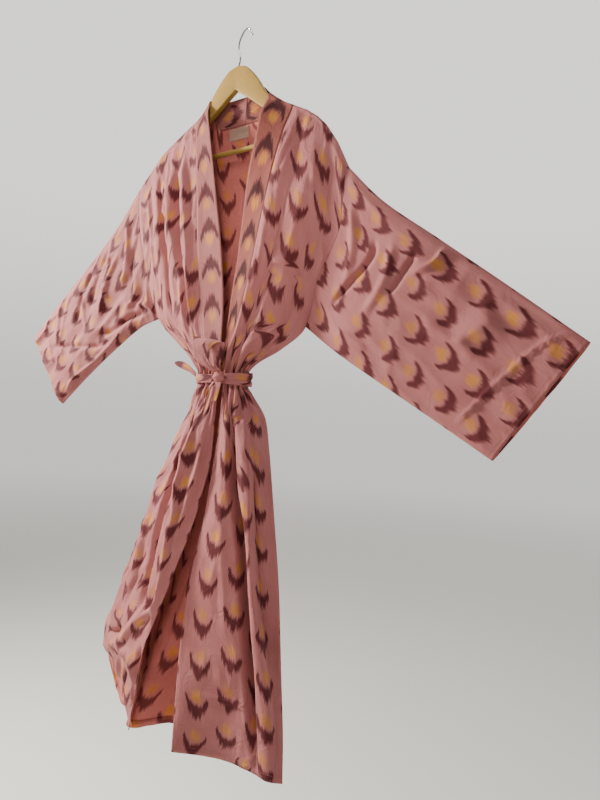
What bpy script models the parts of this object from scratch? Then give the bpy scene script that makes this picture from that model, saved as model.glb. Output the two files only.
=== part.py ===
"""Kimono robe of thin cotton, tied with its own sash and hung on a wooden hanger.

Metres, +Z up, the front faces -Y. The origin is the inside of the hook's crook, where it hangs.
The body is worked as rings: each row runs from one front edge round the back to the other.
"""

import math

import bpy
import numpy as np

MM = 0.001

# Cloth
WALL = 1.2 * MM
SEAM_GAP = 0.3 * MM
SHOULDER_Z = -0.210  # nominal height of the rows at the shoulder line
UNDERARM_Z = -0.610
WAIST_Z = -0.725
HEM_Z = -1.411
NECK_SEAM_Z, NECK_TOP_Z, NECK_Y = -0.1975, -0.138, 11 * MM  # neck band behind the hanger
NECK_MIDDLE = 21 * MM

# Waist, as the sash draws it in
WAIST_X, WAIST_Y = 40.5 * MM, -25 * MM
WAIST_A, WAIST_B = 62 * MM, 32 * MM

# Sash
SASH_HEIGHT = 21 * MM
SASH_THICK = 2.4 * MM

# Hanger
HOOK_REACH = 15 * MM  # from the hanger's middle to the crook, which the origin stands under
HANGER_THICK = 12 * MM
BAR_RADIUS, BAR_Z, BAR_HALF = 5.0 * MM, -0.255, 190 * MM
WIRE_RADIUS = 1.7 * MM
FIT = 0.3 * MM


def smooth(at, knots, values):
    """Cubic through the rows of a table, without overshoot."""
    knots = np.asarray(knots, float)
    values = np.asarray(values, float)
    if knots[0] > knots[-1]:
        knots, values = knots[::-1], values[::-1]
    at = np.clip(np.asarray(at, float), knots[0], knots[-1])
    step = np.diff(knots).reshape((-1,) + (1,) * (values.ndim - 1))
    rise = np.diff(values, axis=0) / step
    slope = np.zeros_like(values)
    slope[0], slope[-1] = rise[0], rise[-1]
    turn = rise[:-1] * rise[1:]
    total = rise[:-1] + rise[1:]
    slope[1:-1] = np.where(turn > 0, 2 * turn / np.where(total == 0, 1, total), 0)
    i = np.clip(np.searchsorted(knots, at, side="right") - 1, 0, len(knots) - 2)
    shape = at.shape + (1,) * (values.ndim - 1)
    h = (knots[i + 1] - knots[i]).reshape(shape)
    t = ((at - knots[i]) / (knots[i + 1] - knots[i])).reshape(shape)
    return (
        values[i] * (1 + 2 * t) * (1 - t) ** 2
        + slope[i] * h * t * (1 - t) ** 2
        + values[i + 1] * t * t * (3 - 2 * t)
        - slope[i + 1] * h * t * t * (1 - t)
    )


def ease(t):
    t = np.clip(t, 0, 1)
    return t * t * (3 - 2 * t)


# Top edge of the hanger, half of it: distance from the middle, height (mm)
HANGER_TOP = np.array([
    (0, -75), (20, -80), (40, -97), (55, -115), (70, -137), (85, -156),
    (100, -168), (125, -181), (150, -195), (180, -211.5), (205, -230.5), (225, -251),
])
# Under edge: a V under the hook, then straight to the ends
HANGER_UNDER = np.array([(0, -126), (20, -140), (60, -170), (150, -238), (190, -267), (225, -270)])

# Shoulder line of the cloth past the hanger's ends (mm)
SHOULDER = np.array([
    (-265, -289), (-240, -264), (-225, -249), (-205, -229), (-180, -211), (-150, -195),
    (-125, -181), (-100, -168), (-85, -156), (-70, -137), (-60, -122), (60, -122), (70, -137),
    (85, -156), (100, -168), (125, -181), (150, -195), (180, -211), (205, -229), (225, -249),
    (250, -285), (278, -339),
])
CLOTH_LIFT = 2.0 * MM  # middle of the wall above the wood
CLOTH_OFF = HANGER_THICK / 2 + 1.6 * MM


def shoulder_z(x):
    return np.interp(x, SHOULDER[:, 0] * MM, SHOULDER[:, 1] * MM) + CLOTH_LIFT


# The side lines, where fronts meet back: nominal height, x, y of the front, y of the back (mm).
# Above the underarm the two lie apart and take the sleeve between them.
SIDE_LEFT = np.array([
    (-210, -265, -1, 1), (-225, -264, -8, 7), (-260, -261, -11, 8), (-350, -249, -12, 9),
    (-490, -213, -12, 9), (-590, -184, -9, 5), (-610, -178, -3, -1.3), (-660, -106, -4.6, -3.4),
    (-700, -29, -23, -23), (-711, -21.5, -25, -25), (-725, -21.5, -25, -25),
    (-739, -21.5, -25, -25), (-750, -28, -23, -23), (-800, -56, -2, -2), (-855, -84, 2, 2),
    (-967, -139, 5, 5), (-1100, -202, 7, 7), (-1190, -244, 8, 8), (-1255, -271, 9, 9),
    (-1335, -290, 9, 9), (-1380, -298, 10, 10), (-1411, -293, 10, 10),
])
SIDE_RIGHT = np.array([
    (-210, 278, -1, 1), (-225, 278, -8, 7), (-260, 278, -11, 8), (-350, 277, -12, 9),
    (-490, 236, -12, 9), (-590, 213, -9, 5), (-610, 209, -3, -1.3), (-660, 158, -5.6, -4.4),
    (-700, 111, -23, -23), (-711, 102.5, -25, -25), (-725, 102.5, -25, -25),
    (-739, 102.5, -25, -25), (-750, 111, -24, -24), (-800, 140, -12, -12),
    (-855, 151, -10, -10), (-967, 173, -13, -13), (-1100, 199, -18, -18), (-1255, 220, -22, -22),
    (-1335, 234, -28, -28), (-1411, 249, -42, -42),
])

# Plan of each piece by height (mm): x, y at set places across the cloth, from its front edge
FRONT_PLACES = (0, 0.25, 0.5, 0.75, 1)
FRONT_LEFT = np.array([
    # z      edge x, y    first x, y    middle x, y   third x, y
    (-210, -100, -1, -140, -1, -180, -1, -222, -1),
    (-225, -98, -11, -138, -10, -179, -9, -221, -9),
    (-260, -86, -22, -130, -17, -172, -14, -216, -12),
    (-350, -62, -36, -106, -34, -152, -28, -200, -20),
    (-490, -35, -46, -74, -48, -118, -40, -166, -27),
    (-610, -5, -53, -42, -58, -84, -51, -130, -32),
    (-660, 12, -58, -8, -62, -35, -54, -68, -34),
    (-800, 58, -62, 30, -70, -2, -62, -36, -36),
    (-855, 58, -63, 25, -76, -17, -69, -56, -38),
    (-967, 41, -71, 3, -85, -45, -77, -97, -42),
    (-1030, 31, -85, -14, -92, -69, -79, -126, -42),
    (-1100, 13, -99, -34, -96, -94, -77, -152, -40),
    (-1190, -23, -101, -72, -92, -130, -70, -188, -36),
    (-1255, -49, -100, -96, -88, -154, -62, -218, -29),
    (-1335, -66, -95, -111, -80, -167, -50, -230, -20),
    (-1411, -81, -90, -119, -70, -163, -44, -210, -16),
])
FRONT_RIGHT = np.array([
    (-210, 150, -1, 183, -1, 215, -1, 248, -1),
    (-225, 150, -11, 182, -10, 215, -9, 248, -9),
    (-260, 144, -22, 179, -18, 213, -15, 247, -12),
    (-350, 133, -40, 172, -36, 208, -28, 244, -19),
    (-490, 118, -56, 150, -48, 181, -36, 211, -23),
    (-610, 93, -60, 124, -54, 154, -41, 184, -24),
    (-660, 79, -62, 102, -58, 124, -46, 144, -28),
    (-800, 66, -59, 92, -64, 116, -57, 134, -38),
    (-855, 64, -61, 94, -68, 123, -61, 145, -40),
    (-967, 57, -69, 95, -76, 133, -67, 163, -46),
    (-1100, 42, -81, 90, -81, 136, -70, 176, -51),
    (-1190, 35, -85, 87, -79, 138, -68, 184, -53),
    (-1255, 33, -87, 86, -76, 139, -65, 189, -54),
    (-1335, 34, -89, 88, -70, 144, -58, 199, -55),
    (-1411, 36, -92, 92, -60, 150, -46, 214, -54),
])
BACK_PLACES = (0, 0.15, 0.33, 0.45, 0.55, 0.75, 1)
BACK = np.array([
    # z      second x, y   third x, y   fourth x, y   fifth x, y   sixth x, y
    (-210, -183, 1, -86, 11, -21, 11, 34, 11, 142, 1),
    (-225, -183, 8, -86, 12, -21, 12, 34, 12, 142, 9),
    (-260, -181, 11, -85, 13, -21, 13, 34, 13, 142, 12),
    (-350, -170, 12, -78, 14, -16, 15, 36, 15, 142, 13),
    (-490, -148, 13, -66, 16, -10, 16, 35, 16, 124, 13),
    (-610, -120, 8, -50, 15, -3, 16, 36, 16, 116, 10),
    (-660, -72, 5, -20, 13, 14, 15, 44, 15, 102, 6),
    (-800, -46, 10, 0, 13, 28, 13, 52, 13, 102, 6),
    (-855, -74, 12, -20, 14, 16, 14, 50, 14, 108, 5),
    (-967, -120, 14, -52, 14, -2, 13, 42, 13, 116, 4),
    (-1100, -166, 14, -84, 10, -32, 4, 22, 12, 120, 4),
    (-1190, -200, 12, -108, 4, -54, -12, 0, 12, 118, 4),
    (-1255, -228, 12, -128, -4, -66, -32, -16, 12, 116, 5),
    (-1335, -252, 10, -142, -16, -78, -60, -32, 2, 112, 6),
    (-1411, -232, 2, -148, -32, -90, -80, -42, -14, 106, 8),
])
# Open front edge of the neck band, left and right as seen from the front (mm)
BAND_LEFT = np.array([
    (-210, -68, -1), (-225, -66, -10), (-260, -48, -27), (-350, -12, -39), (-490, 30, -49),
    (-610, 55, -57), (-660, 61, -63), (-700, 58, -61), (-711, 55, -56), (-725, 55, -56),
])
BAND_RIGHT = np.array([
    (-210, 85, -1), (-225, 87, -10), (-260, 89, -31), (-350, 77, -39), (-490, 73, -47),
    (-610, 68, -57), (-660, 67.5, -60), (-700, 63, -59.5), (-711, 59, -55.4), (-725, 59, -55.4),
])


def waist_plan(height, angles):
    """Oval in which the sash holds the cloth, a little fuller above and below it."""
    full = 1 + 0.11 * max(0, abs(height - WAIST_Z) - 14 * MM) / (11 * MM)
    turn = np.radians(angles)
    return np.stack(
        [WAIST_X + WAIST_A * full * np.sin(turn), WAIST_Y - WAIST_B * full * np.cos(turn)], -1
    )


def plan_rows(table, sides, above, below):
    """Rows of (height, places, xy): the table, its side lines, and the oval of the waist.

    above and below are where the inner places lie on the oval, over and under the sash (degrees).
    """
    rows = {}
    for row in table:
        inner = row[1:].reshape(-1, 2)
        rows[row[0]] = [tuple(point) for point in inner]
    heights = sorted(set(rows) | {-700.0, -711.0, -725.0, -739.0, -750.0}, reverse=True)
    made = []
    for height in heights:
        if height in rows:
            line = [np.array(point) * MM for point in rows[height]]
        else:
            line = list(waist_plan(height * MM, above if height > -730 else below))
        for side, index, column in sides:
            end = smooth(height, side[:, 0], side[:, 1:])[[0, column]] * MM
            line.insert(index if index >= 0 else len(line), end)
        made.append(line)
    return np.array(heights) * MM, np.array(made)


# Height of the underarm at the two ends of each piece's rows
UNDERARMS = {"front_left": (-0.592, -0.592), "front_right": (-0.624, -0.624), "back": (-0.592, -0.624)}


def body_points(kind, across, heights):
    """Middle of the cloth at each height (rows) and place across (columns), before the folds."""
    knots, plan, places = PLANS[kind]
    at_height = smooth(heights, knots, plan)
    xy = np.moveaxis(smooth(across, places, np.moveaxis(at_height, 1, 0)), 0, 1)
    top = shoulder_top(kind, across)
    at_left, at_right = UNDERARMS[kind]
    under = at_left + (at_right - at_left) * across
    heights = np.asarray(heights, float)[:, None]
    if kind == "back":
        seam = neck_seam_line(xy[..., 0])[0]
        xy[..., 1] += (seam - xy[..., 1]) * (1 - ease((SHOULDER_Z - heights) / (15 * MM)))
    upper = (SHOULDER_Z - heights) / (SHOULDER_Z - UNDERARM_Z)
    z_upper = top + (under - top) * np.clip(upper, 0, 1)
    shift = (under - UNDERARM_Z) * (1 - ease((UNDERARM_Z - heights) / 90 / MM))
    z = np.where(upper < 1, z_upper, heights + shift)
    z = z + hem_lift(kind, across) * ease((-1.19 - heights) / (-1.19 - HEM_Z))
    clear = over_hanger(shoulder_z(xy[..., 0]) - z)
    clear = np.where(upper < 1, np.maximum(clear, SEAM_GAP / 2), 0)
    if kind == "back":
        xy[..., 1] = np.where(upper < 0.5, np.maximum(xy[..., 1], clear), xy[..., 1])
    else:
        xy[..., 1] = np.where(upper < 0.5, np.minimum(xy[..., 1], -clear), xy[..., 1])
    return np.concatenate([xy, z[..., None]], -1)


def neck_share(x):
    """1 across the back of the neck, 0 on the shoulders."""
    return ease((x + 86 * MM) / (42 * MM)) * ease((136 * MM - x) / (42 * MM))


def over_hanger(drop):
    """How far the cloth stands off the hanger's middle plane, this far below the shoulder line."""
    return CLOTH_OFF * np.sqrt(1 - (1 - np.clip(drop / (5 * MM), 0, 1)) ** 2)


def neck_seam_line(x):
    """Seam between back panel and neck band: depth and height."""
    over = shoulder_z(x)
    behind = np.clip((x + 100 * MM) / (14 * MM), 0, 1) * np.clip((150 * MM - x) / (14 * MM), 0, 1)
    depth = CLOTH_OFF * behind + (NECK_Y - CLOTH_OFF) * neck_share(x)
    return depth, over + (NECK_SEAM_Z - over) * neck_share(x)


def shoulder_top(kind, across):
    """Height of the top edge: over the hanger, and the neck seam behind it."""
    knots, plan, places = PLANS[kind]
    x = smooth(across, places, plan[0])[:, 0]
    return neck_seam_line(x)[1] if kind == "back" else shoulder_z(x)


def hem_lift(kind, across):
    """How far the left side's hem has crumpled up."""
    if kind == "front_left":
        return smooth(across, (0, 0.17, 0.4, 0.7, 1), (0, 26, 48, 66, 84)) * MM
    if kind == "back":
        return 84 * MM * (1 - ease(across / 0.24))
    return np.zeros(len(across))


PLANS = {
    "front_left": (*plan_rows(FRONT_LEFT, [(SIDE_LEFT, -1, 1)], (0, -22, -45, -68), (15, -9, -37, -65)),
                   np.array(FRONT_PLACES)),
    "front_right": (*plan_rows(FRONT_RIGHT, [(SIDE_RIGHT, -1, 1)], (24, 41, 57, 74), (24, 41, 57, 74)),
                    np.array(FRONT_PLACES)),
    "back": (*plan_rows(BACK, [(SIDE_LEFT, 0, 2), (SIDE_RIGHT, -1, 2)],
                        (-117, -149.4, -171, -189, -225), (-117, -149.4, -171, -189, -225)),
             np.array(BACK_PLACES)),
}

# Folds that run down the cloth: place at the shoulder, waist and hem, width across,
# then height (mm, + is outwards) at the shoulder, chest, waist, hip, knee and hem
FOLD_LEVELS = (-0.21, -0.42, -0.70, -0.85, -1.12, -1.41)
FOLD_COLUMNS = ("top", "waist", "hem", "width", "shoulder", "chest", "gather", "hip", "knee", "end")
FOLDS = {
    "front_left": [
        (0.20, 0.22, 0.22, 0.085, 0, 8, -4, 0, 0, 0),
        (0.40, 0.44, 0.44, 0.100, 0, 12, -4, 0, 0, 0),
        (0.66, 0.68, 0.68, 0.120, 0, 11, -5, 0, 0, 0),
        (0.30, 0.33, 0.33, 0.075, 0, -6, -4, 0, 0, 0),
        (0.20, 0.20, 0.25, 0.090, 0, 0, -2, 8, 10, 5),
        (0.33, 0.33, 0.36, 0.080, 0, 0, -5, -10, -9, -3),
        (0.52, 0.52, 0.60, 0.110, 0, 0, -3, 6, 5, 3),
        (0.74, 0.74, 0.74, 0.120, 0, 0, -4, 12, 18, 8),
        (0.88, 0.88, 0.88, 0.090, 0, 0, -4, -8, -10, -3),
    ],
    "front_right": [
        (0.10, 0.12, 0.12, 0.080, 0, 9, -4, 0, 0, 0),
        (0.24, 0.26, 0.26, 0.080, 0, -7, -4, 0, 0, 0),
        (0.48, 0.50, 0.50, 0.130, 0, 6, -3, 0, 0, 0),
        (0.76, 0.72, 0.72, 0.110, 0, -5, -4, 0, 0, 0),
        (0.36, 0.38, 0.56, 0.070, 0, 0, -5, -11, -7, -2),
        (0.48, 0.50, 0.72, 0.090, 0, 0, -2, 9, 9, 6),
        (0.62, 0.64, 0.84, 0.070, 0, 0, -4, -6, -8, -5),
        (0.78, 0.78, 0.92, 0.080, 0, 0, -3, 7, 6, 4),
    ],
    "back": [
        (0.16, 0.14, 0.14, 0.070, 0, -4, -5, -8, -8, -4),
        (0.30, 0.28, 0.26, 0.090, 0, -5, -5, -12, -14, -7),
        (0.44, 0.43, 0.38, 0.080, 0, -3, -5, -10, -4, 0),
        (0.58, 0.58, 0.66, 0.080, 0, -4, -5, -13, -15, -8),
        (0.72, 0.72, 0.78, 0.080, 0, -5, -5, -10, -12, -9),
        (0.86, 0.87, 0.89, 0.070, 0, -4, -5, -8, -10, -6),
    ],
}
GATHERS = {"front_left": 6, "front_right": 5, "back": 9}  # small tucks under the sash
GATHER_DEPTH = 5.5 * MM


def fold_height(kind, across, heights):
    """Height of the folds off the plain form; nothing at the seams, so neighbours still meet."""
    place = np.asarray(across)[None, :]
    heights = np.asarray(heights, float)
    total = np.zeros((len(heights), len(across)))
    for row in FOLDS[kind]:
        fold = dict(zip(FOLD_COLUMNS, row))
        middle = smooth(heights, (SHOULDER_Z, WAIST_Z, HEM_Z),
                        (fold["top"], fold["waist"], fold["hem"]))[:, None]
        size = smooth(heights, FOLD_LEVELS, row[4:])[:, None] * MM
        bump = np.clip(1 - np.abs(place - middle) / (fold["width"] * 1.3), 0, 1)
        total += size * ease(bump)
    near = np.clip(1 - np.abs(heights - WAIST_Z) / (110 * MM), 0, 1)
    tuck = 0.5 - 0.5 * np.cos(2 * math.pi * GATHERS[kind] * place)
    total -= GATHER_DEPTH * ease(near)[:, None] * tuck
    window = ease(np.minimum(place, 1 - place) / 0.07)
    return total * window


def normals_of(points, closed=False):
    """Unit normal at each point of a grid."""
    if closed:
        along = np.roll(points, -1, 1) - np.roll(points, 1, 1)
    else:
        along = np.gradient(points, axis=1)
    down = np.gradient(points, axis=0)
    normal = np.cross(along, down)
    return normal / np.maximum(np.linalg.norm(normal, axis=-1, keepdims=True), 1e-12)


def folded(kind, across, heights):
    """Points of the folded cloth, and the outward direction of its plain form."""
    points = body_points(kind, across, heights)
    out = normals_of(points) * {"front_right": -1}.get(kind, 1)
    out[..., 2] = 0
    out /= np.maximum(np.linalg.norm(out, axis=-1, keepdims=True), 1e-12)
    return points + out * fold_height(kind, across, heights)[..., None]


# Colour and roughness of each piece
COTTON, LOOP_COTTON, TAPE = (0.60, 0.30, 0.28), (0.50, 0.22, 0.21), (0.62, 0.50, 0.42)
WOOD, BAR_WOOD, STEEL = (0.62, 0.42, 0.20), (0.68, 0.50, 0.28), (0.75, 0.75, 0.77)
LOOKS = {
    "back_panel": (COTTON, 0.85), "front_left": (COTTON, 0.85), "front_right": (COTTON, 0.85),
    "sleeve_left": (COTTON, 0.85), "sleeve_right": (COTTON, 0.85), "band_left": (COTTON, 0.85),
    "band_right": (COTTON, 0.85), "sash_wrap": (COTTON, 0.85), "sash_knot": (COTTON, 0.85),
    "sash_loop": (LOOP_COTTON, 0.85), "sash_end_left": (COTTON, 0.85),
    "sash_tail_straight": (COTTON, 0.85), "sash_tail_twisted": (COTTON, 0.85),
    "neck_label": (TAPE, 0.7), "hanger_body": (WOOD, 0.45), "trouser_bar": (BAR_WOOD, 0.4),
    "hanger_hook": (STEEL, 0.2),
}


def material(name):
    colour, rough = LOOKS[name]
    made = bpy.data.materials.new(name)
    made.use_nodes = True
    made.diffuse_color = (*colour, 1)
    shader = made.node_tree.nodes["Principled BSDF"]
    shader.inputs["Base Color"].default_value = (*colour, 1)
    shader.inputs["Roughness"].default_value = rough
    shader.inputs["Metallic"].default_value = 1.0 if colour is STEEL else 0.0
    return made


def mesh_object(name, vertices, faces):
    mesh = bpy.data.meshes.new(name)
    placed = np.asarray(vertices, float) - (HOOK_REACH, 0, 0)
    mesh.from_pydata(placed.tolist(), [], faces)
    mesh.update()
    obj = bpy.data.objects.new(name, mesh)
    ROBE.objects.link(obj)
    if name in LOOKS:
        mesh.materials.append(material(name))
    corners = [[mesh.vertices[i].co for i in face.vertices] for face in mesh.polygons]
    volume = sum(
        c[0].dot(c[i].cross(c[i + 1])) for c in corners for i in range(1, len(c) - 1)
    )
    if volume < 0:
        mesh.flip_normals()
    return obj


def cloth_wall(name, points, normals, closed=False, thick=WALL):
    """Closed wall of even thickness round a grid of cloth."""
    rows, columns = points.shape[:2]
    outer = points + normals * thick / 2
    inner = points - normals * thick / 2
    vertices = np.concatenate([outer.reshape(-1, 3), inner.reshape(-1, 3)])
    half, flat = rows * columns, points.reshape(-1, 3)
    faces = []
    last = columns if closed else columns - 1
    for r in range(rows - 1):
        for c in range(last):
            d = (c + 1) % columns
            a, b, e, f = r * columns + c, r * columns + d, (r + 1) * columns + d, (r + 1) * columns + c
            # Both walls are split along the same diagonal, the shorter, so they stay parallel
            if np.linalg.norm(flat[a] - flat[e]) < np.linalg.norm(flat[b] - flat[f]):
                split = [(a, b, e), (a, e, f)]
            else:
                split = [(a, b, f), (b, e, f)]
            faces += split + [tuple(half + i for i in face[::-1]) for face in split]
    for c in range(last):
        d = (c + 1) % columns
        for r, turned in ((0, False), (rows - 1, True)):
            a, b = r * columns + c, r * columns + d
            faces.append((a, half + a, half + b, b) if not turned else (b, half + b, half + a, a))
    if not closed:
        for r in range(rows - 1):
            for c, turned in ((0, True), (columns - 1, False)):
                a, b = r * columns + c, (r + 1) * columns + c
                faces.append((a, half + a, half + b, b) if not turned else (b, half + b, half + a, a))
    return mesh_object(name, vertices, faces)


def clear_scene():
    for obj in list(bpy.data.objects):
        bpy.data.objects.remove(obj)
    for collection in list(bpy.data.collections):
        bpy.data.collections.remove(collection)


clear_scene()
ROBE = bpy.data.collections.new("kimono_robe")
CUTTERS = bpy.data.collections.new("cutters")
CUTTERS.hide_render = True
bpy.context.scene.collection.children.link(ROBE)
bpy.context.scene.collection.children.link(CUTTERS)

# Body panels
ROWS = np.array([
    -0.210, -0.2104, -0.2115, -0.2145, -0.224, -0.255, -0.31, -0.37, -0.43, -0.49, -0.55, -0.598,
    -0.61, -0.64, -0.67, -0.695, -0.711, -0.725, -0.739, -0.76, -0.80, -0.85, -0.91, -0.98,
    -1.05, -1.12, -1.19, -1.26, -1.32, -1.37, -1.411,
])
COLUMNS = {"front_left": 23, "front_right": 21, "back": 31}
PANEL_NAMES = {"front_left": "front_left", "front_right": "front_right", "back": "back_panel"}


def places_across(kind, columns):
    """Even columns; the back also has them where the neck seam turns onto the shoulders."""
    across = np.linspace(0, 1, columns)
    if kind != "back":
        return across
    knots, plan, places = PLANS[kind]
    fine = np.linspace(0, 1, 2001)
    turns = np.array([-100, -93, -86, 136, 143, 150]) * MM
    extra = np.interp(turns, smooth(fine, places, plan[0])[:, 0], fine)
    apart = np.abs(across[:, None] - extra[None]).min(axis=1) > 0.4 / columns
    return np.sort(np.concatenate([across[apart], extra]))


def panel_grid(kind, columns, rows):
    across = places_across(kind, columns)
    points = folded(kind, across, rows)
    # Draw the two ends in by half a seam gap, along the row
    for end, inside in ((0, 1), (-1, -2)):
        away = points[:, inside] - points[:, end]
        away /= np.linalg.norm(away, axis=-1, keepdims=True)
        points[:, end] += away * SEAM_GAP * 0.75
    return points


GRIDS = {kind: panel_grid(kind, COLUMNS[kind], ROWS) for kind in COLUMNS}


def seam_normals():
    """Normals of the panels, shared along the sides and turned up along the shoulder."""
    normals = {kind: normals_of(grid) for kind, grid in GRIDS.items()}
    normals["front_right"] *= -1
    below = np.where(ROWS <= -0.669)[0]
    for front, end in (("front_left", 0), ("front_right", -1)):
        shared = normals[front][below, -1] + normals["back"][below, end]
        shared /= np.linalg.norm(shared, axis=-1, keepdims=True)
        normals[front][below, -1] = normals["back"][below, end] = shared
    for kind, grid in GRIDS.items():
        along = np.gradient(grid[0], axis=0)
        up = np.stack([-along[:, 2], 0 * along[:, 0], along[:, 0]], -1)
        up *= np.sign(up[:, 2:3])
        up /= np.linalg.norm(up, axis=-1, keepdims=True)
        hung = np.abs(grid[0][:, 1]) < 4 * MM
        normals[kind][0][hung] = up[hung]
    return normals


NORMALS = seam_normals()
for kind, grid in GRIDS.items():
    cloth_wall(PANEL_NAMES[kind], grid, NORMALS[kind])


# Sleeves: flat tubes from the armhole to the open cuff
SLEEVES = {
    "sleeve_left": [
        # along  top x, z    bottom x, z  middle y, half the hollow (mm)
        (0.00, -265, -287, -178, -592, -2, 10),
        (0.20, -329, -361, -227, -606, -2, 13),
        (0.45, -424, -442, -314, -654, 0, 14),
        (0.75, -541, -534, -417, -724, 1, 12),
        (1.00, -638, -616, -501, -788, 2, 9),
    ],
    "sleeve_right": [
        (0.00, 278, -339, 209, -624, -2, 10),
        (0.20, 350, -410, 272, -668, -4, 16),
        (0.45, 455, -488, 362, -722, -4, 17),
        (0.75, 582, -582, 468, -784, -3, 14),
        (1.00, 690, -664, 562, -840, -2, 10),
    ],
}
# Folds of the sleeves: from and to (share along, share down), width and height (mm), face
SLEEVE_FOLDS = {
    "sleeve_left": [
        (0.00, 0.88, 0.22, 0.80, 51, -5, "front"),
        (0.02, 0.62, 0.30, 0.86, 45, 4, "front"),
        (0.10, 0.30, 0.52, 0.62, 45, -4, "front"),
        (0.38, 0.86, 0.66, 0.50, 42, 4, "front"),
        (0.45, 0.20, 0.86, 0.66, 45, -4, "front"),
        (0.70, 0.90, 0.92, 0.55, 39, 3, "front"),
        (0.15, 0.10, 0.75, 0.16, 39, 3, "front"),
        (0.05, 0.80, 0.60, 0.55, 60, 4, "back"),
        (0.20, 0.30, 0.85, 0.45, 60, -4, "back"),
    ],
    "sleeve_right": [
        (0.00, 0.86, 0.30, 0.52, 45, 5, "front"),
        (0.02, 0.60, 0.26, 0.20, 45, -4, "front"),
        (0.20, 0.95, 0.36, 0.35, 39, -3, "front"),
        (0.40, 0.80, 0.62, 0.62, 90, 5, "front"),
        (0.66, 0.95, 0.70, 0.10, 30, -2, "front"),
        (0.10, 0.08, 0.85, 0.12, 42, 3, "front"),
        (0.05, 0.85, 0.55, 0.50, 66, 4, "back"),
        (0.30, 0.20, 0.90, 0.40, 66, -4, "back"),
    ],
}
SLEEVE_ALONG = np.array([0, 0.04, 0.10, 0.18, 0.26, 0.35, 0.44, 0.53, 0.62, 0.71, 0.80, 0.89, 1.0])
SLEEVE_DOWN = (SHOULDER_Z - ROWS[ROWS >= UNDERARM_Z]) / (SHOULDER_Z - UNDERARM_Z)  # row for row


def sleeve_points(name, along, down):
    """Rings of the sleeve: down the front from the top edge, and up the back again."""
    table = np.array(SLEEVES[name])
    run = smooth(along, table[:, 0], table[:, 1:] * MM)[:, None, :]
    side, front, back = (
        (SIDE_LEFT, "front_left", 0.0) if name == "sleeve_left" else (SIDE_RIGHT, "front_right", 1.0)
    )
    heights = SHOULDER_Z + (UNDERARM_Z - SHOULDER_Z) * down
    faces = []
    for face, kind, place in (("front", front, 1.0), ("back", "back", back)):
        hole = body_points(kind, np.array([place]), heights)[:, 0]
        spread = down[None, :, None]
        edge = run[..., 0:2] * (1 - spread) + run[..., 2:4] * spread
        start = hole[:, [0, 2]] - (edge[0] if along[0] == 0 else hole[:, [0, 2]])
        xz = edge + start[None] * ((1 - along) ** 2)[:, None, None]
        belly = np.sqrt(np.clip(4 * down * (1 - down), 0, 1)) ** 0.8
        sign = -1 if face == "front" else 1
        flat = run[..., 4] + sign * run[..., 5] * belly[None]
        share = ease(along / 0.3)[:, None]
        y = hole[None, :, 1] * (1 - share) + flat * share
        length = np.hypot(run[-1, 0, 0] - run[0, 0, 0], run[-1, 0, 1] - run[0, 0, 1])
        width = np.hypot(run[..., 0] - run[..., 2], run[..., 1] - run[..., 3])
        for row in SLEEVE_FOLDS[name]:
            if row[6] != face:
                continue
            a = np.array(row[0:2]) * (length, 0.24)
            b = np.array(row[2:4]) * (length, 0.24)
            px = along[:, None] * length + 0 * down
            py = down[None, :] * 0.24 + 0 * along[:, None]
            t = np.clip(((px - a[0]) * (b - a)[0] + (py - a[1]) * (b - a)[1]) / ((b - a) ** 2).sum(), 0, 1)
            far = np.hypot(px - a[0] - t * (b - a)[0], py - a[1] - t * (b - a)[1])
            bump = ease(1 - far / (row[4] * MM)) * ease(along / 0.08)[:, None]
            y += sign * row[5] * MM * bump * ease(np.minimum(down, 1 - down) / 0.12)[None]
        faces.append(np.stack([xz[..., 0], y, xz[..., 1]], -1))
    front_face, back_face = faces
    ring = np.concatenate([front_face, back_face[:, -2:0:-1]], axis=1)
    middle = 0.5 * (front_face[:, 0] + back_face[:, 0])
    ring[:, 0] = middle
    low = 0.5 * (front_face[:, -1] + back_face[:, -1])
    ring[:, len(down) - 1] = low
    # Leave the seam gap at the armhole
    away = ring[1] - ring[0]
    ring[0] += away / np.linalg.norm(away, axis=-1, keepdims=True) * SEAM_GAP * 1.5
    return ring


for name in SLEEVES:
    ring = sleeve_points(name, SLEEVE_ALONG, SLEEVE_DOWN)
    cloth_wall(name, ring, normals_of(ring, closed=True), closed=True)

# Neck band: one strip for each side, from the middle of the back neck to under the sash
BAND_ROWS = ROWS[ROWS >= WAIST_Z]


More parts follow.
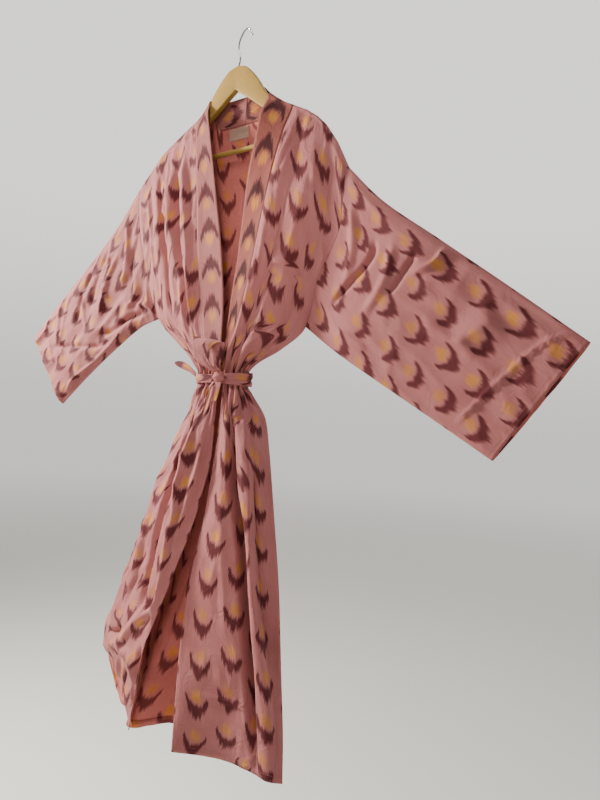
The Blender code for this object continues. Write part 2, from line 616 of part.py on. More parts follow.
def band_grid(side):
    front, edge_table = ("front_left", BAND_LEFT) if side < 0 else ("front_right", BAND_RIGHT)
    seam = folded(front, np.array([0.0, 0.02, 0.04]), BAND_ROWS)[:, 0]
    edge = smooth(BAND_ROWS, edge_table[:, 0] * MM, edge_table[:, 1:] * MM)
    top = shoulder_z(edge[0, 0])
    lift = (top - seam[0, 2]) * (1 - ease((SHOULDER_Z - BAND_ROWS) / (200 * MM)))
    edge_z = seam[:, 2] + lift
    edge = np.column_stack([edge, edge_z])
    edge[:, 1] = np.minimum(edge[:, 1], -over_hanger(shoulder_z(edge[:, 0]) - edge[:, 2]))
    start = NECK_MIDDLE + side * SEAM_GAP / 2
    end = seam[0, 0]
    back_x = GRIDS["back"][0, :, 0]
    stops = back_x[(side * (back_x - start) > 6 * MM) & (side * (end - back_x) > 3 * MM)]
    neck_seam, neck_edge = [], []
    for x in [start, *sorted(stops, reverse=side < 0)]:
        share = (x - start) / (end - start)
        neck_seam.append((x, *neck_seam_line(x)))
        x = start + (edge[0, 0] - start) * share
        gone = abs(x - edge[0, 0])
        over = shoulder_z(x)
        off = CLOTH_OFF * ease(gone / (8 * MM)) + (NECK_Y - CLOTH_OFF) * ease(gone / (40 * MM))
        neck_edge.append((x, off, over + (NECK_TOP_Z - over) * ease((gone - 8 * MM) / (36 * MM))))
    seam = np.concatenate([neck_seam, seam])
    edge = np.concatenate([neck_edge, edge])
    away = edge - seam
    width = np.linalg.norm(away, axis=-1, keepdims=True)
    turning = np.abs(np.abs(seam[:, 0] - NECK_MIDDLE) - 114 * MM) < 10 * MM
    gap = SEAM_GAP * np.where(turning & (seam[:, 1] > 0), 5, 1.4)
    seam = seam + away / width * gap[:, None]
    shares = np.linspace(0, 1, 4)[None, :, None]
    return seam[:, None] * (1 - shares) + edge[:, None] * shares


for name, side in (("band_left", -1), ("band_right", 1)):
    grid = band_grid(side)
    normals = normals_of(grid)
    cloth_wall(name, grid, normals)


# Sash: the wrap is one ring, creased along its length and gathered into two strands on the right
WRAP_PLACES = 40
WRAP_SHARES = np.array([-1, -0.55, -0.1, 0.35, 1])


def wrap_grid(places, shares):
    turn = np.linspace(0, 2 * math.pi, places, endpoint=False)[None, :]
    share = shares[:, None]
    clear = 3.4 * MM
    right = ease(np.sin(turn))  # where the two strands part
    high = SASH_HEIGHT / 2 * (0.86 + 0.20 * right - 0.10 * np.cos(turn))
    crease = -1.2 * MM * right * (1 - np.clip(np.abs(share + 0.1) / 0.45, 0, 1))
    left = -1.2 * MM * ease(-np.sin(turn)) * (1 - np.clip(np.abs(share + 0.55) / 0.5, 0, 1))
    out = clear + crease + left - 1.0 * MM * share**2
    x = WAIST_X + (WAIST_A + out) * np.sin(turn)
    y = WAIST_Y - (WAIST_B + out) * np.cos(turn)
    z = WAIST_Z + high * share + 1.5 * MM * right * share - 1.5 * MM * np.cos(turn)
    return np.stack([x, y, z + 0 * x], -1)


grid = wrap_grid(WRAP_PLACES, WRAP_SHARES)
cloth_wall("sash_wrap", grid, normals_of(grid, closed=True), closed=True, thick=SASH_THICK * 0.7)


def lump(name, middle, radii, rows, columns, wraps):
    """Closed lump of wound cloth, with the turns as ridges round it."""
    vertices = [(middle[0], middle[1], middle[2] - radii[2])]
    for r in range(1, rows):
        lift = math.pi * r / rows
        for c in range(columns):
            turn = 2 * math.pi * c / columns
            ridge = 1 + 0.09 * math.cos(wraps * lift + 1.2 * math.sin(turn))
            vertices.append((
                middle[0] + radii[0] * ridge * math.sin(lift) * math.cos(turn),
                middle[1] + radii[1] * ridge * math.sin(lift) * math.sin(turn),
                middle[2] - radii[2] * math.cos(lift),
            ))
    vertices.append((middle[0], middle[1], middle[2] + radii[2]))
    top = len(vertices) - 1
    faces = [(0, 1 + (c + 1) % columns, 1 + c) for c in range(columns)]
    for r in range(rows - 2):
        for c in range(columns):
            a, b = 1 + r * columns + c, 1 + r * columns + (c + 1) % columns
            faces.append((a, b, b + columns, a + columns))
    start = 1 + (rows - 2) * columns
    faces += [(start + c, start + (c + 1) % columns, top) for c in range(columns)]
    return mesh_object(name, vertices, faces)


KNOT = np.array([64.5, -67.4, -724.0]) * MM
lump("sash_knot", KNOT, (12 * MM, 8.6 * MM, 11 * MM), 9, 14, 5.0)

# Loop and ends of the sash as strips: middle x, y, z, width, then the way the width points x, y, z
STRIPS = {
    "sash_loop": [
        (63, -67.6, -712.5, 13, 1.0, 0.0, 0.0),
        (57, -71.5, -702, 26, 1.0, 0.0, 0.1),
        (52, -73, -684, 50, 1.0, 0.0, -0.05),
        (49, -76, -664, 66, 1.0, 0.0, -0.12),
        (48, -81, -655, 70, 1.0, 0.05, -0.16),
        (44, -87, -656, 62, 1.0, 0.05, -0.16),
        (36, -90, -668, 44, 1.0, 0.10, -0.22),
        (36, -89, -686, 36, 1.0, 0.15, -0.25),
        (46, -86, -702, 28, 1.0, 0.1, -0.1),
        (60, -77, -713, 15, 1.0, 0.0, 0.0),
    ],
    "sash_end_left": [
        (-19, -41.3, -718, 8, 0.25, -0.2, 1.0),
        (-33, -43, -708, 11, 0.35, -0.2, 1.0),
        (-52, -43, -700, 14, 0.30, 0.2, 1.0),
        (-68, -41, -696, 12, 0.20, 0.3, 1.0),
        (-82, -39, -693, 4, 0.10, 0.2, 1.0),
    ],
    "sash_tail_straight": [
        (68, -71.3, -734.4, 12, 1.0, 0.1, 0.0),
        (67.5, -74, -745, 14, 1.0, 0.2, 0.0),
        (67, -76, -757, 13, 1.0, 0.1, 0.0),
        (66.5, -77, -770, 11, 1.0, -0.1, 0.1),
    ],
    "sash_tail_twisted": [
        (56.5, -71.5, -733.6, 8, 1.0, -0.2, 0.3),
        (53, -76, -744, 10, 0.9, -0.5, 0.2),
        (48, -78, -756, 12, 0.5, -0.9, 0.1),
        (45, -79, -768, 11, 0.8, -0.5, 0.2),
        (43, -80, -780, 5, 1.0, 0.0, 0.3),
    ],
}
STRIP_ACROSS = {"sash_loop": 6}
STRIP_ALONG = {"sash_loop": 19}


def strip_grid(name, along, across):
    table = np.array(STRIPS[name], float)
    row = smooth(np.linspace(0, 1, along), np.linspace(0, 1, len(table)), table)
    way = row[:, 4:7] / np.linalg.norm(row[:, 4:7], axis=1, keepdims=True)
    share = np.linspace(-0.5, 0.5, across)
    return (row[:, None, :3] + way[:, None] * row[:, 3][:, None, None] * share[None, :, None]) * MM


for name in STRIPS:
    grid = strip_grid(name, STRIP_ALONG.get(name, 8), STRIP_ACROSS.get(name, 4))
    cloth_wall(name, grid, normals_of(grid))

# Neck label, laid on the back panel's points under the neck seam
LABEL_WIDTH, LABEL_HEIGHT, LABEL_THICK = 50 * MM, 24 * MM, 0.8 * MM
LABEL_MIDDLE, LABEL_TOP = 3 * MM, -0.2000


def label_grid(columns, rows):
    x = np.linspace(LABEL_MIDDLE - LABEL_WIDTH / 2, LABEL_MIDDLE + LABEL_WIDTH / 2, columns)
    z = np.linspace(LABEL_TOP, LABEL_TOP - LABEL_HEIGHT, rows)
    fine = np.linspace(0.25, 0.75, 60)
    deep = folded("back", fine, SHOULDER_Z - np.linspace(0, 0.04, 24))
    flat = deep.reshape(-1, 3)
    grid = []
    for height in z:
        line = []
        for place in x:
            near = np.argsort((flat[:, 0] - place) ** 2 + (flat[:, 2] - height) ** 2)[:3]
            off = (WALL + LABEL_THICK) / 2 + 0.35 * MM
            line.append((place, flat[near, 1].mean() - off, height))
        grid.append(line)
    return np.array(grid)


grid = label_grid(6, 4)
cloth_wall("neck_label", grid, normals_of(grid), thick=LABEL_THICK)

# Hanger body: a flat bow of wood with rounded edges, worked as sections along its length
HANGER_STATIONS = np.array([
    -225, -222, -215, -205, -180, -150, -125, -100, -85, -70, -55, -40, -28, -16, -6,
    6, 16, 28, 40, 55, 70, 85, 100, 125, 150, 180, 205, 215, 222, 225,
]) * MM
HANGER_ROUND = 3.2 * MM


def hanger_sections():
    sections = []
    for x in HANGER_STATIONS:
        away = abs(x)
        top = np.interp(away, HANGER_TOP[:, 0] * MM, HANGER_TOP[:, 1] * MM)
        low = np.interp(away, HANGER_UNDER[:, 0] * MM, HANGER_UNDER[:, 1] * MM)
        end = max(0.0, (away - 213 * MM) / (12 * MM))
        shrink = 6 * MM * (1 - math.sqrt(max(0.0, 1 - end**2)))
        top, low = top - shrink, low + shrink
        half = HANGER_THICK / 2 * (1 - 0.45 * end**2)
        corner = min(HANGER_ROUND, half * 0.8)
        cut = corner * 0.3
        sections.append([
            (x, y, z)
            for y, z in (
                (-half + corner, top), (half - corner, top), (half - cut, top - cut), (half, top - corner),
                (half, low + corner), (half - cut, low + cut), (half - corner, low),
                (-half + corner, low), (-half + cut, low + cut), (-half, low + corner),
                (-half, top - corner), (-half + cut, top - cut),
            )
        ])
    return sections


def tube_object(name, sections):
    """Closed body through a row of rings of the same count, with flat ends."""
    count = len(sections[0])
    vertices = [point for ring in sections for point in ring]
    faces = [tuple(range(count))[::-1], tuple(range(len(vertices) - count, len(vertices)))]
    for r in range(len(sections) - 1):
        for c in range(count):
            a, b = r * count + c, r * count + (c + 1) % count
            faces.append((a, b, b + count, a + count))
    return mesh_object(name, vertices, faces)


def round_rings(path, radius, sides):
    """Rings round a path that lies in the X-Z plane."""
    path = np.array(path, float)
    rings = []
    for i, point in enumerate(path):
        along = path[min(i + 1, len(path) - 1)] - path[max(i - 1, 0)]
        along /= np.linalg.norm(along)
        side = np.cross(along, (0, 1, 0))
        turns = 2 * math.pi * np.arange(sides) / sides
        rings.append(point + radius * (np.outer(np.cos(turns), side) + np.outer(np.sin(turns), (0, 1, 0))))
    return [ring.tolist() for ring in rings]


def drill(target, name, path, radius, sides):
    cutter = tube_object(name, round_rings(path, radius, sides))
    ROBE.objects.unlink(cutter)
    CUTTERS.objects.link(cutter)
    cutter.hide_render = True
    cutter.display_type = "WIRE"
    hole = target.modifiers.new(name, "BOOLEAN")
    hole.operation, hole.solver, hole.object = "DIFFERENCE", "EXACT", cutter


hanger = tube_object("hanger_body", hanger_sections())
HOOK_FOOT = -0.095
drill(hanger, "hook_hole", [(0, 0, HOOK_FOOT - FIT), (0, 0, -0.060)], WIRE_RADIUS + FIT, 12)
drill(hanger, "bar_sockets",
      [(-BAR_HALF - FIT, 0, BAR_Z), (BAR_HALF + FIT, 0, BAR_Z)], BAR_RADIUS + FIT, 16)
tube_object("trouser_bar", round_rings([(-BAR_HALF, 0, BAR_Z), (BAR_HALF, 0, BAR_Z)], BAR_RADIUS, 14))

# Hook: wire from the hanger's top through an S to the crook; x from the hanger's middle (mm)
HOOK = np.array([
    (0, -95), (0, -84), (0, -73), (2.5, -64), (2.5, -56), (0, -47), (-3, -38), (-3.5, -28),
    (-1.5, -18), (3.5, -8.5), (9, -1.5), (15, 1.7), (21, 0), (26, -5), (29, -11), (31.5, -17),
])


def hook_path(count):
    steps = np.hypot(*np.diff(HOOK, axis=0).T)
    at = np.concatenate([[0], np.cumsum(steps)])
    xz = smooth(np.linspace(0, at[-1], count), at, HOOK) * MM
    return np.column_stack([xz[:, 0], 0 * xz[:, 0], xz[:, 1]])


tube_object("hanger_hook", round_rings(hook_path(30), WIRE_RADIUS, 7))
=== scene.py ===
"""Kimono robe of thin ikat cotton, tied with its own sash and hung on a wooden hanger."""

import math

import bpy
import numpy as np
from mathutils import Matrix, Vector


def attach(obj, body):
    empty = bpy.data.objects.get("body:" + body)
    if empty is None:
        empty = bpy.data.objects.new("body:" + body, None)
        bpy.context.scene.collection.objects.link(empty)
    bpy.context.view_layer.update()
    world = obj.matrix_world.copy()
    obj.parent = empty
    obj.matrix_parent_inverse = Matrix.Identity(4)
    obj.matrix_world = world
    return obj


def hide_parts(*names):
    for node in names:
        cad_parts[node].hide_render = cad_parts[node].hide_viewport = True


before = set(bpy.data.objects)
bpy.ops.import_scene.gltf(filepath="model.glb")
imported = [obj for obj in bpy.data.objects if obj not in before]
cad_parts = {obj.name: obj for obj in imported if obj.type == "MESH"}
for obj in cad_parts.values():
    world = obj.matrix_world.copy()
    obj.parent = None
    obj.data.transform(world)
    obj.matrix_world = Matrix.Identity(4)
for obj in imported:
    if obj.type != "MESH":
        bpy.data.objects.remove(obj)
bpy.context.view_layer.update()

# Hanger body: a flat bow of pale wood, sawn and sanded with rounded edges, then lacquered.
# It is one board; the wire hook is screwed into its top and the bar is let into its two ends.
MM = 0.001
HOOK_REACH = 15 * MM  # from the hanger's middle to the crook, which the origin stands under
HANGER_THICK = 12 * MM
HANGER_ROUND = 3.2 * MM
HANGER_HALF, HANGER_END = 225 * MM, 12 * MM  # half its length, and how much of each end is rounded off
CORNER_STEPS = 5
HANGER_TOP = np.array([
    (0, -75), (20, -80), (40, -97), (55, -115), (70, -137), (85, -156),
    (100, -168), (125, -181), (150, -195), (180, -211.5), (205, -230.5), (225, -251),
])
HANGER_UNDER = np.array([(0, -126), (20, -140), (60, -170), (150, -238), (190, -267), (225, -270)])
WOOD_PALE, WOOD_DARK = (0.40, 0.245, 0.058), (0.30, 0.165, 0.034)


def ease(t):
    t = np.clip(t, 0, 1)
    return t * t * (3 - 2 * t)


def smooth(at, knots, values):
    """Cubic through the rows of a table, without overshoot."""
    knots = np.asarray(knots, float)
    values = np.asarray(values, float)
    if knots[0] > knots[-1]:
        knots, values = knots[::-1], values[::-1]
    at = np.clip(np.asarray(at, float), knots[0], knots[-1])
    step = np.diff(knots).reshape((-1,) + (1,) * (values.ndim - 1))
    rise = np.diff(values, axis=0) / step
    slope = np.zeros_like(values)
    slope[0], slope[-1] = rise[0], rise[-1]
    turn = rise[:-1] * rise[1:]
    total = rise[:-1] + rise[1:]
    slope[1:-1] = np.where(turn > 0, 2 * turn / np.where(total == 0, 1, total), 0)
    i = np.clip(np.searchsorted(knots, at, side="right") - 1, 0, len(knots) - 2)
    shape = at.shape + (1,) * (values.ndim - 1)
    h = (knots[i + 1] - knots[i]).reshape(shape)
    t = ((at - knots[i]) / (knots[i + 1] - knots[i])).reshape(shape)
    return (
        values[i] * (1 + 2 * t) * (1 - t) ** 2
        + slope[i] * h * t * (1 - t) ** 2
        + values[i + 1] * t * t * (3 - 2 * t)
        - slope[i + 1] * h * t * t * (1 - t)
    )


def new_material(name):
    """An empty material with one Principled shader: the material, its node tree and the shader."""
    made = bpy.data.materials.new(name)
    made.use_nodes = True
    tree = made.node_tree
    return made, tree, tree.nodes["Principled BSDF"]


def put(tree, kind, **settings):
    """A shader node: a list or number feeds an input in order, a socket is linked to it."""
    node = tree.nodes.new(kind)
    feeds = settings.pop("feeds", {})
    for key, value in settings.items():
        setattr(node, key, value)
    for key, value in feeds.items():
        socket = node.inputs[key]
        if isinstance(value, bpy.types.NodeSocket):
            tree.links.new(value, socket)
        else:
            socket.default_value = value
    return node


def calc(tree, operation, *feeds, clamp=False):
    """A Math node's result."""
    node = put(tree, "ShaderNodeMath", operation=operation, use_clamp=clamp, feeds=dict(enumerate(feeds)))
    return node.outputs[0]


def mix_colour(tree, share, first, second):
    node = put(tree, "ShaderNodeMix", data_type="RGBA", feeds={0: share, 6: first, 7: second})
    return node.outputs[2]


def group_ends(name, inputs, outputs):
    """A shader node group with named sockets: the group, its input node and its output node."""
    group = bpy.data.node_groups.new(name, "ShaderNodeTree")
    for side, sockets in (("INPUT", inputs), ("OUTPUT", outputs)):
        for label, kind, value in sockets:
            socket = group.interface.new_socket(name=label, in_out=side, socket_type="NodeSocket" + kind)
            if side == "INPUT" and value is not None:
                socket.default_value = value
    return group, group.nodes.new("NodeGroupInput").outputs, group.nodes.new("NodeGroupOutput").inputs


def wood_grain_group():
    """Long grain: lighter and darker streaks along the board, with fine pores."""
    group, given, result = group_ends(
        "wood_grain",
        [("Along Stretch", "Float", 14.0), ("Rings", "Float", 9.0)],
        [("Streak", "Float", None), ("Pores", "Float", None)],
    )
    where = put(group, "ShaderNodeTexCoord").outputs["Object"]
    stretch = put(group, "ShaderNodeCombineXYZ", feeds={0: 6.0, 1: given["Along Stretch"], 2: 60.0})
    grain = put(group, "ShaderNodeVectorMath", operation="MULTIPLY", feeds={0: where, 1: stretch.outputs[0]})
    bands = put(group, "ShaderNodeTexNoise", feeds={"Vector": grain.outputs[0], "Scale": 1.6, "Detail": 6.0,
                                                    "Roughness": 0.55, "Distortion": 0.8})
    ring = calc(group, "SINE", calc(group, "MULTIPLY", bands.outputs[0], given["Rings"]))
    group.links.new(calc(group, "MULTIPLY_ADD", ring, 0.35, 0.5), result["Streak"])
    pores = put(group, "ShaderNodeTexNoise", feeds={"Vector": grain.outputs[0], "Scale": 14.0, "Detail": 3.0})
    group.links.new(pores.outputs[0], result["Pores"])
    return group


WOOD_GRAIN = wood_grain_group()


def lacquered_wood(name, pale, dark, rings):
    made, tree, shader = new_material(name)
    grain = put(tree, "ShaderNodeGroup", node_tree=WOOD_GRAIN, feeds={"Rings": rings})
    streak, pores = grain.outputs["Streak"], grain.outputs["Pores"]
    body = mix_colour(tree, calc(tree, "MULTIPLY", streak, 0.55, clamp=True), (*pale, 1), (*dark, 1))
    spot = calc(tree, "MULTIPLY_ADD", pores, 0.5, 0.75, clamp=True)
    colour = put(tree, "ShaderNodeVectorMath", operation="SCALE", feeds={0: body, "Scale": spot})
    tree.links.new(colour.outputs[0], shader.inputs["Base Color"])
    shader.inputs["Specular IOR Level"].default_value = 0.15
    rough = calc(tree, "MULTIPLY_ADD", pores, 0.25, 0.42)
    tree.links.new(rough, shader.inputs["Roughness"])
    bump = put(tree, "ShaderNodeBump", feeds={"Height": pores, "Distance": 0.0003, "Strength": 0.25})
    tree.links.new(bump.outputs[0], shader.inputs["Normal"])
    shader.inputs["Coat Weight"].default_value = 0.04
    shader.inputs["Coat Roughness"].default_value = 0.3
    return made


def piece(name, vertices, faces, node, materials, uvs=None):
    """One smooth mesh, in the hanger's own x, that stands for a node and rides on the frame."""
    mesh = bpy.data.meshes.new(name)
    placed = np.asarray(vertices, float) - (HOOK_REACH, 0, 0)
    mesh.from_pydata(placed.tolist(), [], faces)
    if uvs is not None:
        layer = mesh.uv_layers.new(name="cloth")
        layer.data.foreach_set("uv", np.asarray(uvs, np.float32).ravel())
    for made in materials:
        mesh.materials.append(made)
    mesh.shade_smooth()
    obj = bpy.data.objects.new(name, mesh)
    bpy.context.scene.collection.objects.link(obj)
    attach(obj, "root")
    if node:
        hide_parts(node)
    return obj


def tube_faces(rings, count):
    """Faces of a closed body through rings of the same count, with flat ends."""
    faces = [tuple(range(count))[::-1], tuple(range((rings - 1) * count, rings * count))]
    for r in range(rings - 1):
        for c in range(count):
            a, b = r * count + c, r * count + (c + 1) % count
            faces.append((a, b, b + count, a + count))
    return faces


def outward(vertices, faces):
    """The faces, turned over if the closed body is inside out."""
    points = np.asarray(vertices)
    volume = 0.0
    for face in faces:
        corner = points[list(face)]
        for i in range(1, len(face) - 1):
            volume += corner[0] @ np.cross(corner[i], corner[i + 1])
    return faces if volume > 0 else [face[::-1] for face in faces]


def hanger_section(x):
    """Section of the board at x: a rectangle with quarter rounds at its four corners."""
    away = abs(x)
    top = smooth(away, HANGER_TOP[:, 0] * MM, HANGER_TOP[:, 1] * MM)
    low = smooth(away, HANGER_UNDER[:, 0] * MM, HANGER_UNDER[:, 1] * MM)
    end = max(0.0, (away - HANGER_HALF + HANGER_END) / HANGER_END)
    shrink = 0.5 * HANGER_END * (1 - math.sqrt(max(0.0, 1 - end**2)))
    top, low = float(top) - shrink, float(low) + shrink
    half = HANGER_THICK / 2 * (1 - 0.45 * end**2)
    corner = min(HANGER_ROUND, half * 0.8)
    ring = []
    for side, edge, start in ((1, top, 0), (1, low, 90), (-1, low, 180), (-1, top, 270)):
        for step in range(CORNER_STEPS):
            turn = math.radians(start + 90 * step / (CORNER_STEPS - 1))
            y = side * (half - corner) + corner * math.sin(turn)
            z = edge + (-corner if edge == top else corner) + corner * math.cos(turn)
            ring.append((x, y, z))
    return ring


hanger_x = np.concatenate([[-225, -224, -222, -219], np.linspace(-215, 215, 173), [219, 222, 224, 225]]) * MM
board = [point for x in hanger_x for point in hanger_section(x)]
pale_wood = lacquered_wood("pale_hanger_wood", WOOD_PALE, WOOD_DARK, 9.0)
board_faces = outward(board, tube_faces(len(hanger_x), 4 * CORNER_STEPS))
hanger = piece("hanger_board", board, board_faces, "hanger_body", [pale_wood])
hanger.data.set_sharp_from_angle(angle=math.radians(50))

# Trouser bar: a turned dowel of pale wood, a little paler than the board.
# Its two ends are let into the hanger's ends.
BAR_RADIUS, BAR_Z, BAR_HALF = 5.0 * MM, -255 * MM, 190 * MM
BAR_RINGS, BAR_SIDES = 60, 28
DOWEL_PALE, DOWEL_DARK = (0.46, 0.29, 0.08), (0.35, 0.20, 0.048)


def round_rings(path, radii, sides):
    """Rings round a path that lies in the X-Z plane."""
    rings = []
    for i, point in enumerate(path):
        along = path[min(i + 1, len(path) - 1)] - path[max(i - 1, 0)]
        along /= np.linalg.norm(along)
        side = np.cross(along, (0, 1, 0))
        turns = 2 * math.pi * np.arange(sides) / sides
        rings.append(point + radii[i] * (np.outer(np.cos(turns), side) + np.outer(np.sin(turns), (0, 1, 0))))
    return np.concatenate(rings)


bar_x = np.linspace(-BAR_HALF, BAR_HALF, BAR_RINGS)
bar_path = np.column_stack([bar_x, 0 * bar_x, 0 * bar_x + BAR_Z])
bar_points = round_rings(bar_path, [BAR_RADIUS] * BAR_RINGS, BAR_SIDES)
bar_faces = outward(bar_points, tube_faces(BAR_RINGS, BAR_SIDES))
dowel_wood = lacquered_wood("dowel_wood", DOWEL_PALE, DOWEL_DARK, 5.0)
bar = piece("bar_dowel", bar_points, bar_faces, "trouser_bar", [dowel_wood])
bar.data.set_sharp_from_angle(angle=1.0)

# Hook: one chromed wire, bent through an S to the crook, with a small rounded cap on its tip.
# Its foot is screwed into the top of the board.
WIRE_RADIUS = 1.7 * MM
HOOK = np.array([
    (0, -95), (0, -84), (0, -73), (2.5, -64), (2.5, -56), (0, -47), (-3, -38), (-3.5, -28),
    (-1.5, -18), (3.5, -8.5), (9, -1.5), (15, 1.7), (21, 0), (26, -5), (29, -11), (31.5, -17),
])
CAP_LENGTH, CAP_RADIUS, TIP_ROUND = 5 * MM, 2.3 * MM, 1.2 * MM
WIRE_RINGS, WIRE_SIDES = 120, 16


def chromed_steel():
    made, tree, shader = new_material("chromed_wire")
    where = put(tree, "ShaderNodeTexCoord").outputs["Object"]
    scuff = put(tree, "ShaderNodeTexNoise", feeds={"Vector": where, "Scale": 260.0, "Detail": 5.0})
    tree.links.new(calc(tree, "MULTIPLY_ADD", scuff.outputs[0], 0.22, 0.07), shader.inputs["Roughness"])
    dull = put(tree, "ShaderNodeTexNoise", feeds={"Vector": where, "Scale": 40.0, "Detail": 3.0})
    colour = mix_colour(tree, dull.outputs[0], (0.66, 0.66, 0.67, 1), (0.42, 0.42, 0.43, 1))
    tree.links.new(colour, shader.inputs["Base Color"])
    shader.inputs["Metallic"].default_value = 1.0
    return made


def run_along(line):
    """How far each point of a line lies from its first point, along the line."""
    return np.concatenate([[0], np.cumsum(np.linalg.norm(np.diff(line, axis=0), axis=1))])


hook_steps = run_along(HOOK)
hook_at = np.linspace(0, hook_steps[-1], WIRE_RINGS)
hook_xz = smooth(hook_at, hook_steps, HOOK) * MM
wire_path = np.column_stack([hook_xz[:, 0], 0 * hook_at, hook_xz[:, 1]])
to_tip = (hook_steps[-1] - hook_at) * MM
cap = ease((CAP_LENGTH - to_tip) / (0.5 * MM)) * np.sqrt(np.clip(to_tip / (2 * MM) + 0.06, 0, 1))
wire_radii = np.where(to_tip < CAP_LENGTH, WIRE_RADIUS + (CAP_RADIUS - WIRE_RADIUS) * cap, WIRE_RADIUS)
wire_radii *= np.sqrt(np.clip(to_tip / TIP_ROUND, 0.08, 1))
wire_points = round_rings(wire_path, wire_radii, WIRE_SIDES)
wire_faces = outward(wire_points, tube_faces(WIRE_RINGS, WIRE_SIDES))
piece("hook_wire", wire_points, wire_faces, "hanger_hook", [chromed_steel()])

# Back panel: one length of thin plain-weave cotton, cut across the shoulders and hemmed below.
# The warp was tied and dyed before weaving, so the motifs have ragged ends along the threads.
WALL = 0.7 * MM
SHOULDER_Z, UNDERARM_Z, WAIST_Z, HEM_Z = -0.210, -0.610, -0.725, -1.411  # nominal heights of the rows
# Rows that the sash holds, and the height below which they take the skirt's places (mm)
SASH_ROWS, BELOW_SASH = (-700.0, -711.0, -725.0, -739.0, -750.0), -730
NECK_SEAM_Z, NECK_TOP_Z, NECK_Y, NECK_MIDDLE = -0.1975, -0.138, 11 * MM, 21 * MM
WAIST_X, WAIST_Y, WAIST_A, WAIST_B = 40.5 * MM, -25 * MM, 62 * MM, 32 * MM  # oval under the sash
SHOULDER = np.array([
    (-265, -289), (-240, -264), (-225, -249), (-205, -229), (-180, -211), (-150, -195),
    (-125, -181), (-100, -168), (-85, -156), (-70, -137), (-60, -122), (60, -122), (70, -137),
    (85, -156), (100, -168), (125, -181), (150, -195), (180, -211), (205, -229), (225, -249),
    (250, -285), (278, -339),
])
CLOTH_LIFT = 2.0 * MM
CLOTH_OFF = HANGER_THICK / 2 + 1.6 * MM
# Side lines, where fronts meet back: nominal height, x, y of the front, y of the back (mm)
SIDE_LEFT = np.array([
    (-210, -265, -1, 1), (-225, -264, -8, 7), (-260, -261, -11, 8), (-350, -249, -12, 9),
    (-490, -213, -12, 9), (-590, -184, -9, 5), (-610, -178, -3, -1.3), (-660, -106, -4.6, -3.4),
    (-700, -29, -23, -23), (-711, -21.5, -25, -25), (-725, -21.5, -25, -25),
    (-739, -21.5, -25, -25), (-750, -28, -23, -23), (-800, -56, -2, -2), (-855, -84, 2, 2),
    (-967, -139, 5, 5), (-1100, -202, 7, 7), (-1190, -244, 8, 8), (-1255, -271, 9, 9),
    (-1335, -290, 9, 9), (-1380, -298, 10, 10), (-1411, -293, 10, 10),
])
SIDE_RIGHT = np.array([
    (-210, 278, -1, 1), (-225, 278, -8, 7), (-260, 278, -11, 8), (-350, 277, -12, 9),
    (-490, 236, -12, 9), (-590, 213, -9, 5), (-610, 209, -3, -1.3), (-660, 158, -5.6, -4.4),
    (-700, 111, -23, -23), (-711, 102.5, -25, -25), (-725, 102.5, -25, -25),
    (-739, 102.5, -25, -25), (-750, 111, -24, -24), (-800, 140, -12, -12),
    (-855, 151, -10, -10), (-967, 173, -13, -13), (-1100, 199, -18, -18), (-1255, 220, -22, -22),
    (-1335, 234, -28, -28), (-1411, 249, -42, -42),
])
BACK_PLACES = (0, 0.15, 0.33, 0.45, 0.55, 0.75, 1)
BACK = np.array([
    # z      second x, y   third x, y   fourth x, y   fifth x, y   sixth x, y
    (-210, -183, 1, -86, 11, -21, 11, 34, 11, 142, 1),
    (-225, -183, 8, -86, 12, -21, 12, 34, 12, 142, 9),
    (-260, -181, 11, -85, 13, -21, 13, 34, 13, 142, 12),
    (-350, -170, 12, -78, 14, -16, 15, 36, 15, 142, 13),
    (-490, -148, 13, -66, 16, -10, 16, 35, 16, 124, 13),
    (-610, -120, 8, -50, 15, -3, 16, 36, 16, 116, 10),
    (-660, -72, 5, -20, 13, 14, 15, 44, 15, 102, 6),
    (-800, -46, 10, 0, 13, 28, 13, 52, 13, 102, 6),
    (-855, -74, 12, -20, 14, 16, 14, 50, 14, 108, 5),
    (-967, -120, 14, -52, 14, -2, 13, 42, 13, 116, 4),
    (-1100, -166, 14, -84, 10, -32, 4, 22, 12, 120, 4),
    (-1190, -200, 12, -108, 4, -54, -12, 0, 12, 118, 4),
    (-1255, -228, 12, -128, -4, -66, -32, -16, 12, 116, 5),
    (-1335, -252, 10, -142, -16, -78, -60, -32, 2, 112, 6),
    (-1411, -232, 2, -148, -32, -90, -80, -42, -14, 106, 8),
])
# Folds that run down the cloth: place at the shoulder, waist and hem, width across,
# then height (mm, + is outwards) at the shoulder, chest, waist, hip, knee and hem
FOLD_LEVELS = (-0.21, -0.42, -0.70, -0.85, -1.12, -1.41)
FOLDS = {
    "back": [
        (0.16, 0.14, 0.14, 0.070, 0, -4, -5, -8, -8, -4),
        (0.30, 0.28, 0.26, 0.090, 0, -5, -5, -12, -14, -7),
        (0.44, 0.43, 0.38, 0.080, 0, -3, -5, -10, -4, 0),
        (0.58, 0.58, 0.66, 0.080, 0, -4, -5, -13, -15, -8),
        (0.72, 0.72, 0.78, 0.080, 0, -5, -5, -10, -12, -9),
        (0.86, 0.87, 0.89, 0.070, 0, -4, -5, -8, -10, -6),
    ],
}
GATHERS = {"back": 9}
GATHER_DEPTH, GATHER_REACH = 5.5 * MM, 110 * MM  # at the sash, and how far above and below it they run
LIFT_FROM_Z = -1.19  # from here down the left side has crumpled up
UNDERARMS = {"back": (-0.592, -0.624)}
# Cut of each panel (m): where its free edge lies at the shoulder and below the waist, and its side
CUTS = {"back": (0.0, 0.0, 0.60)}
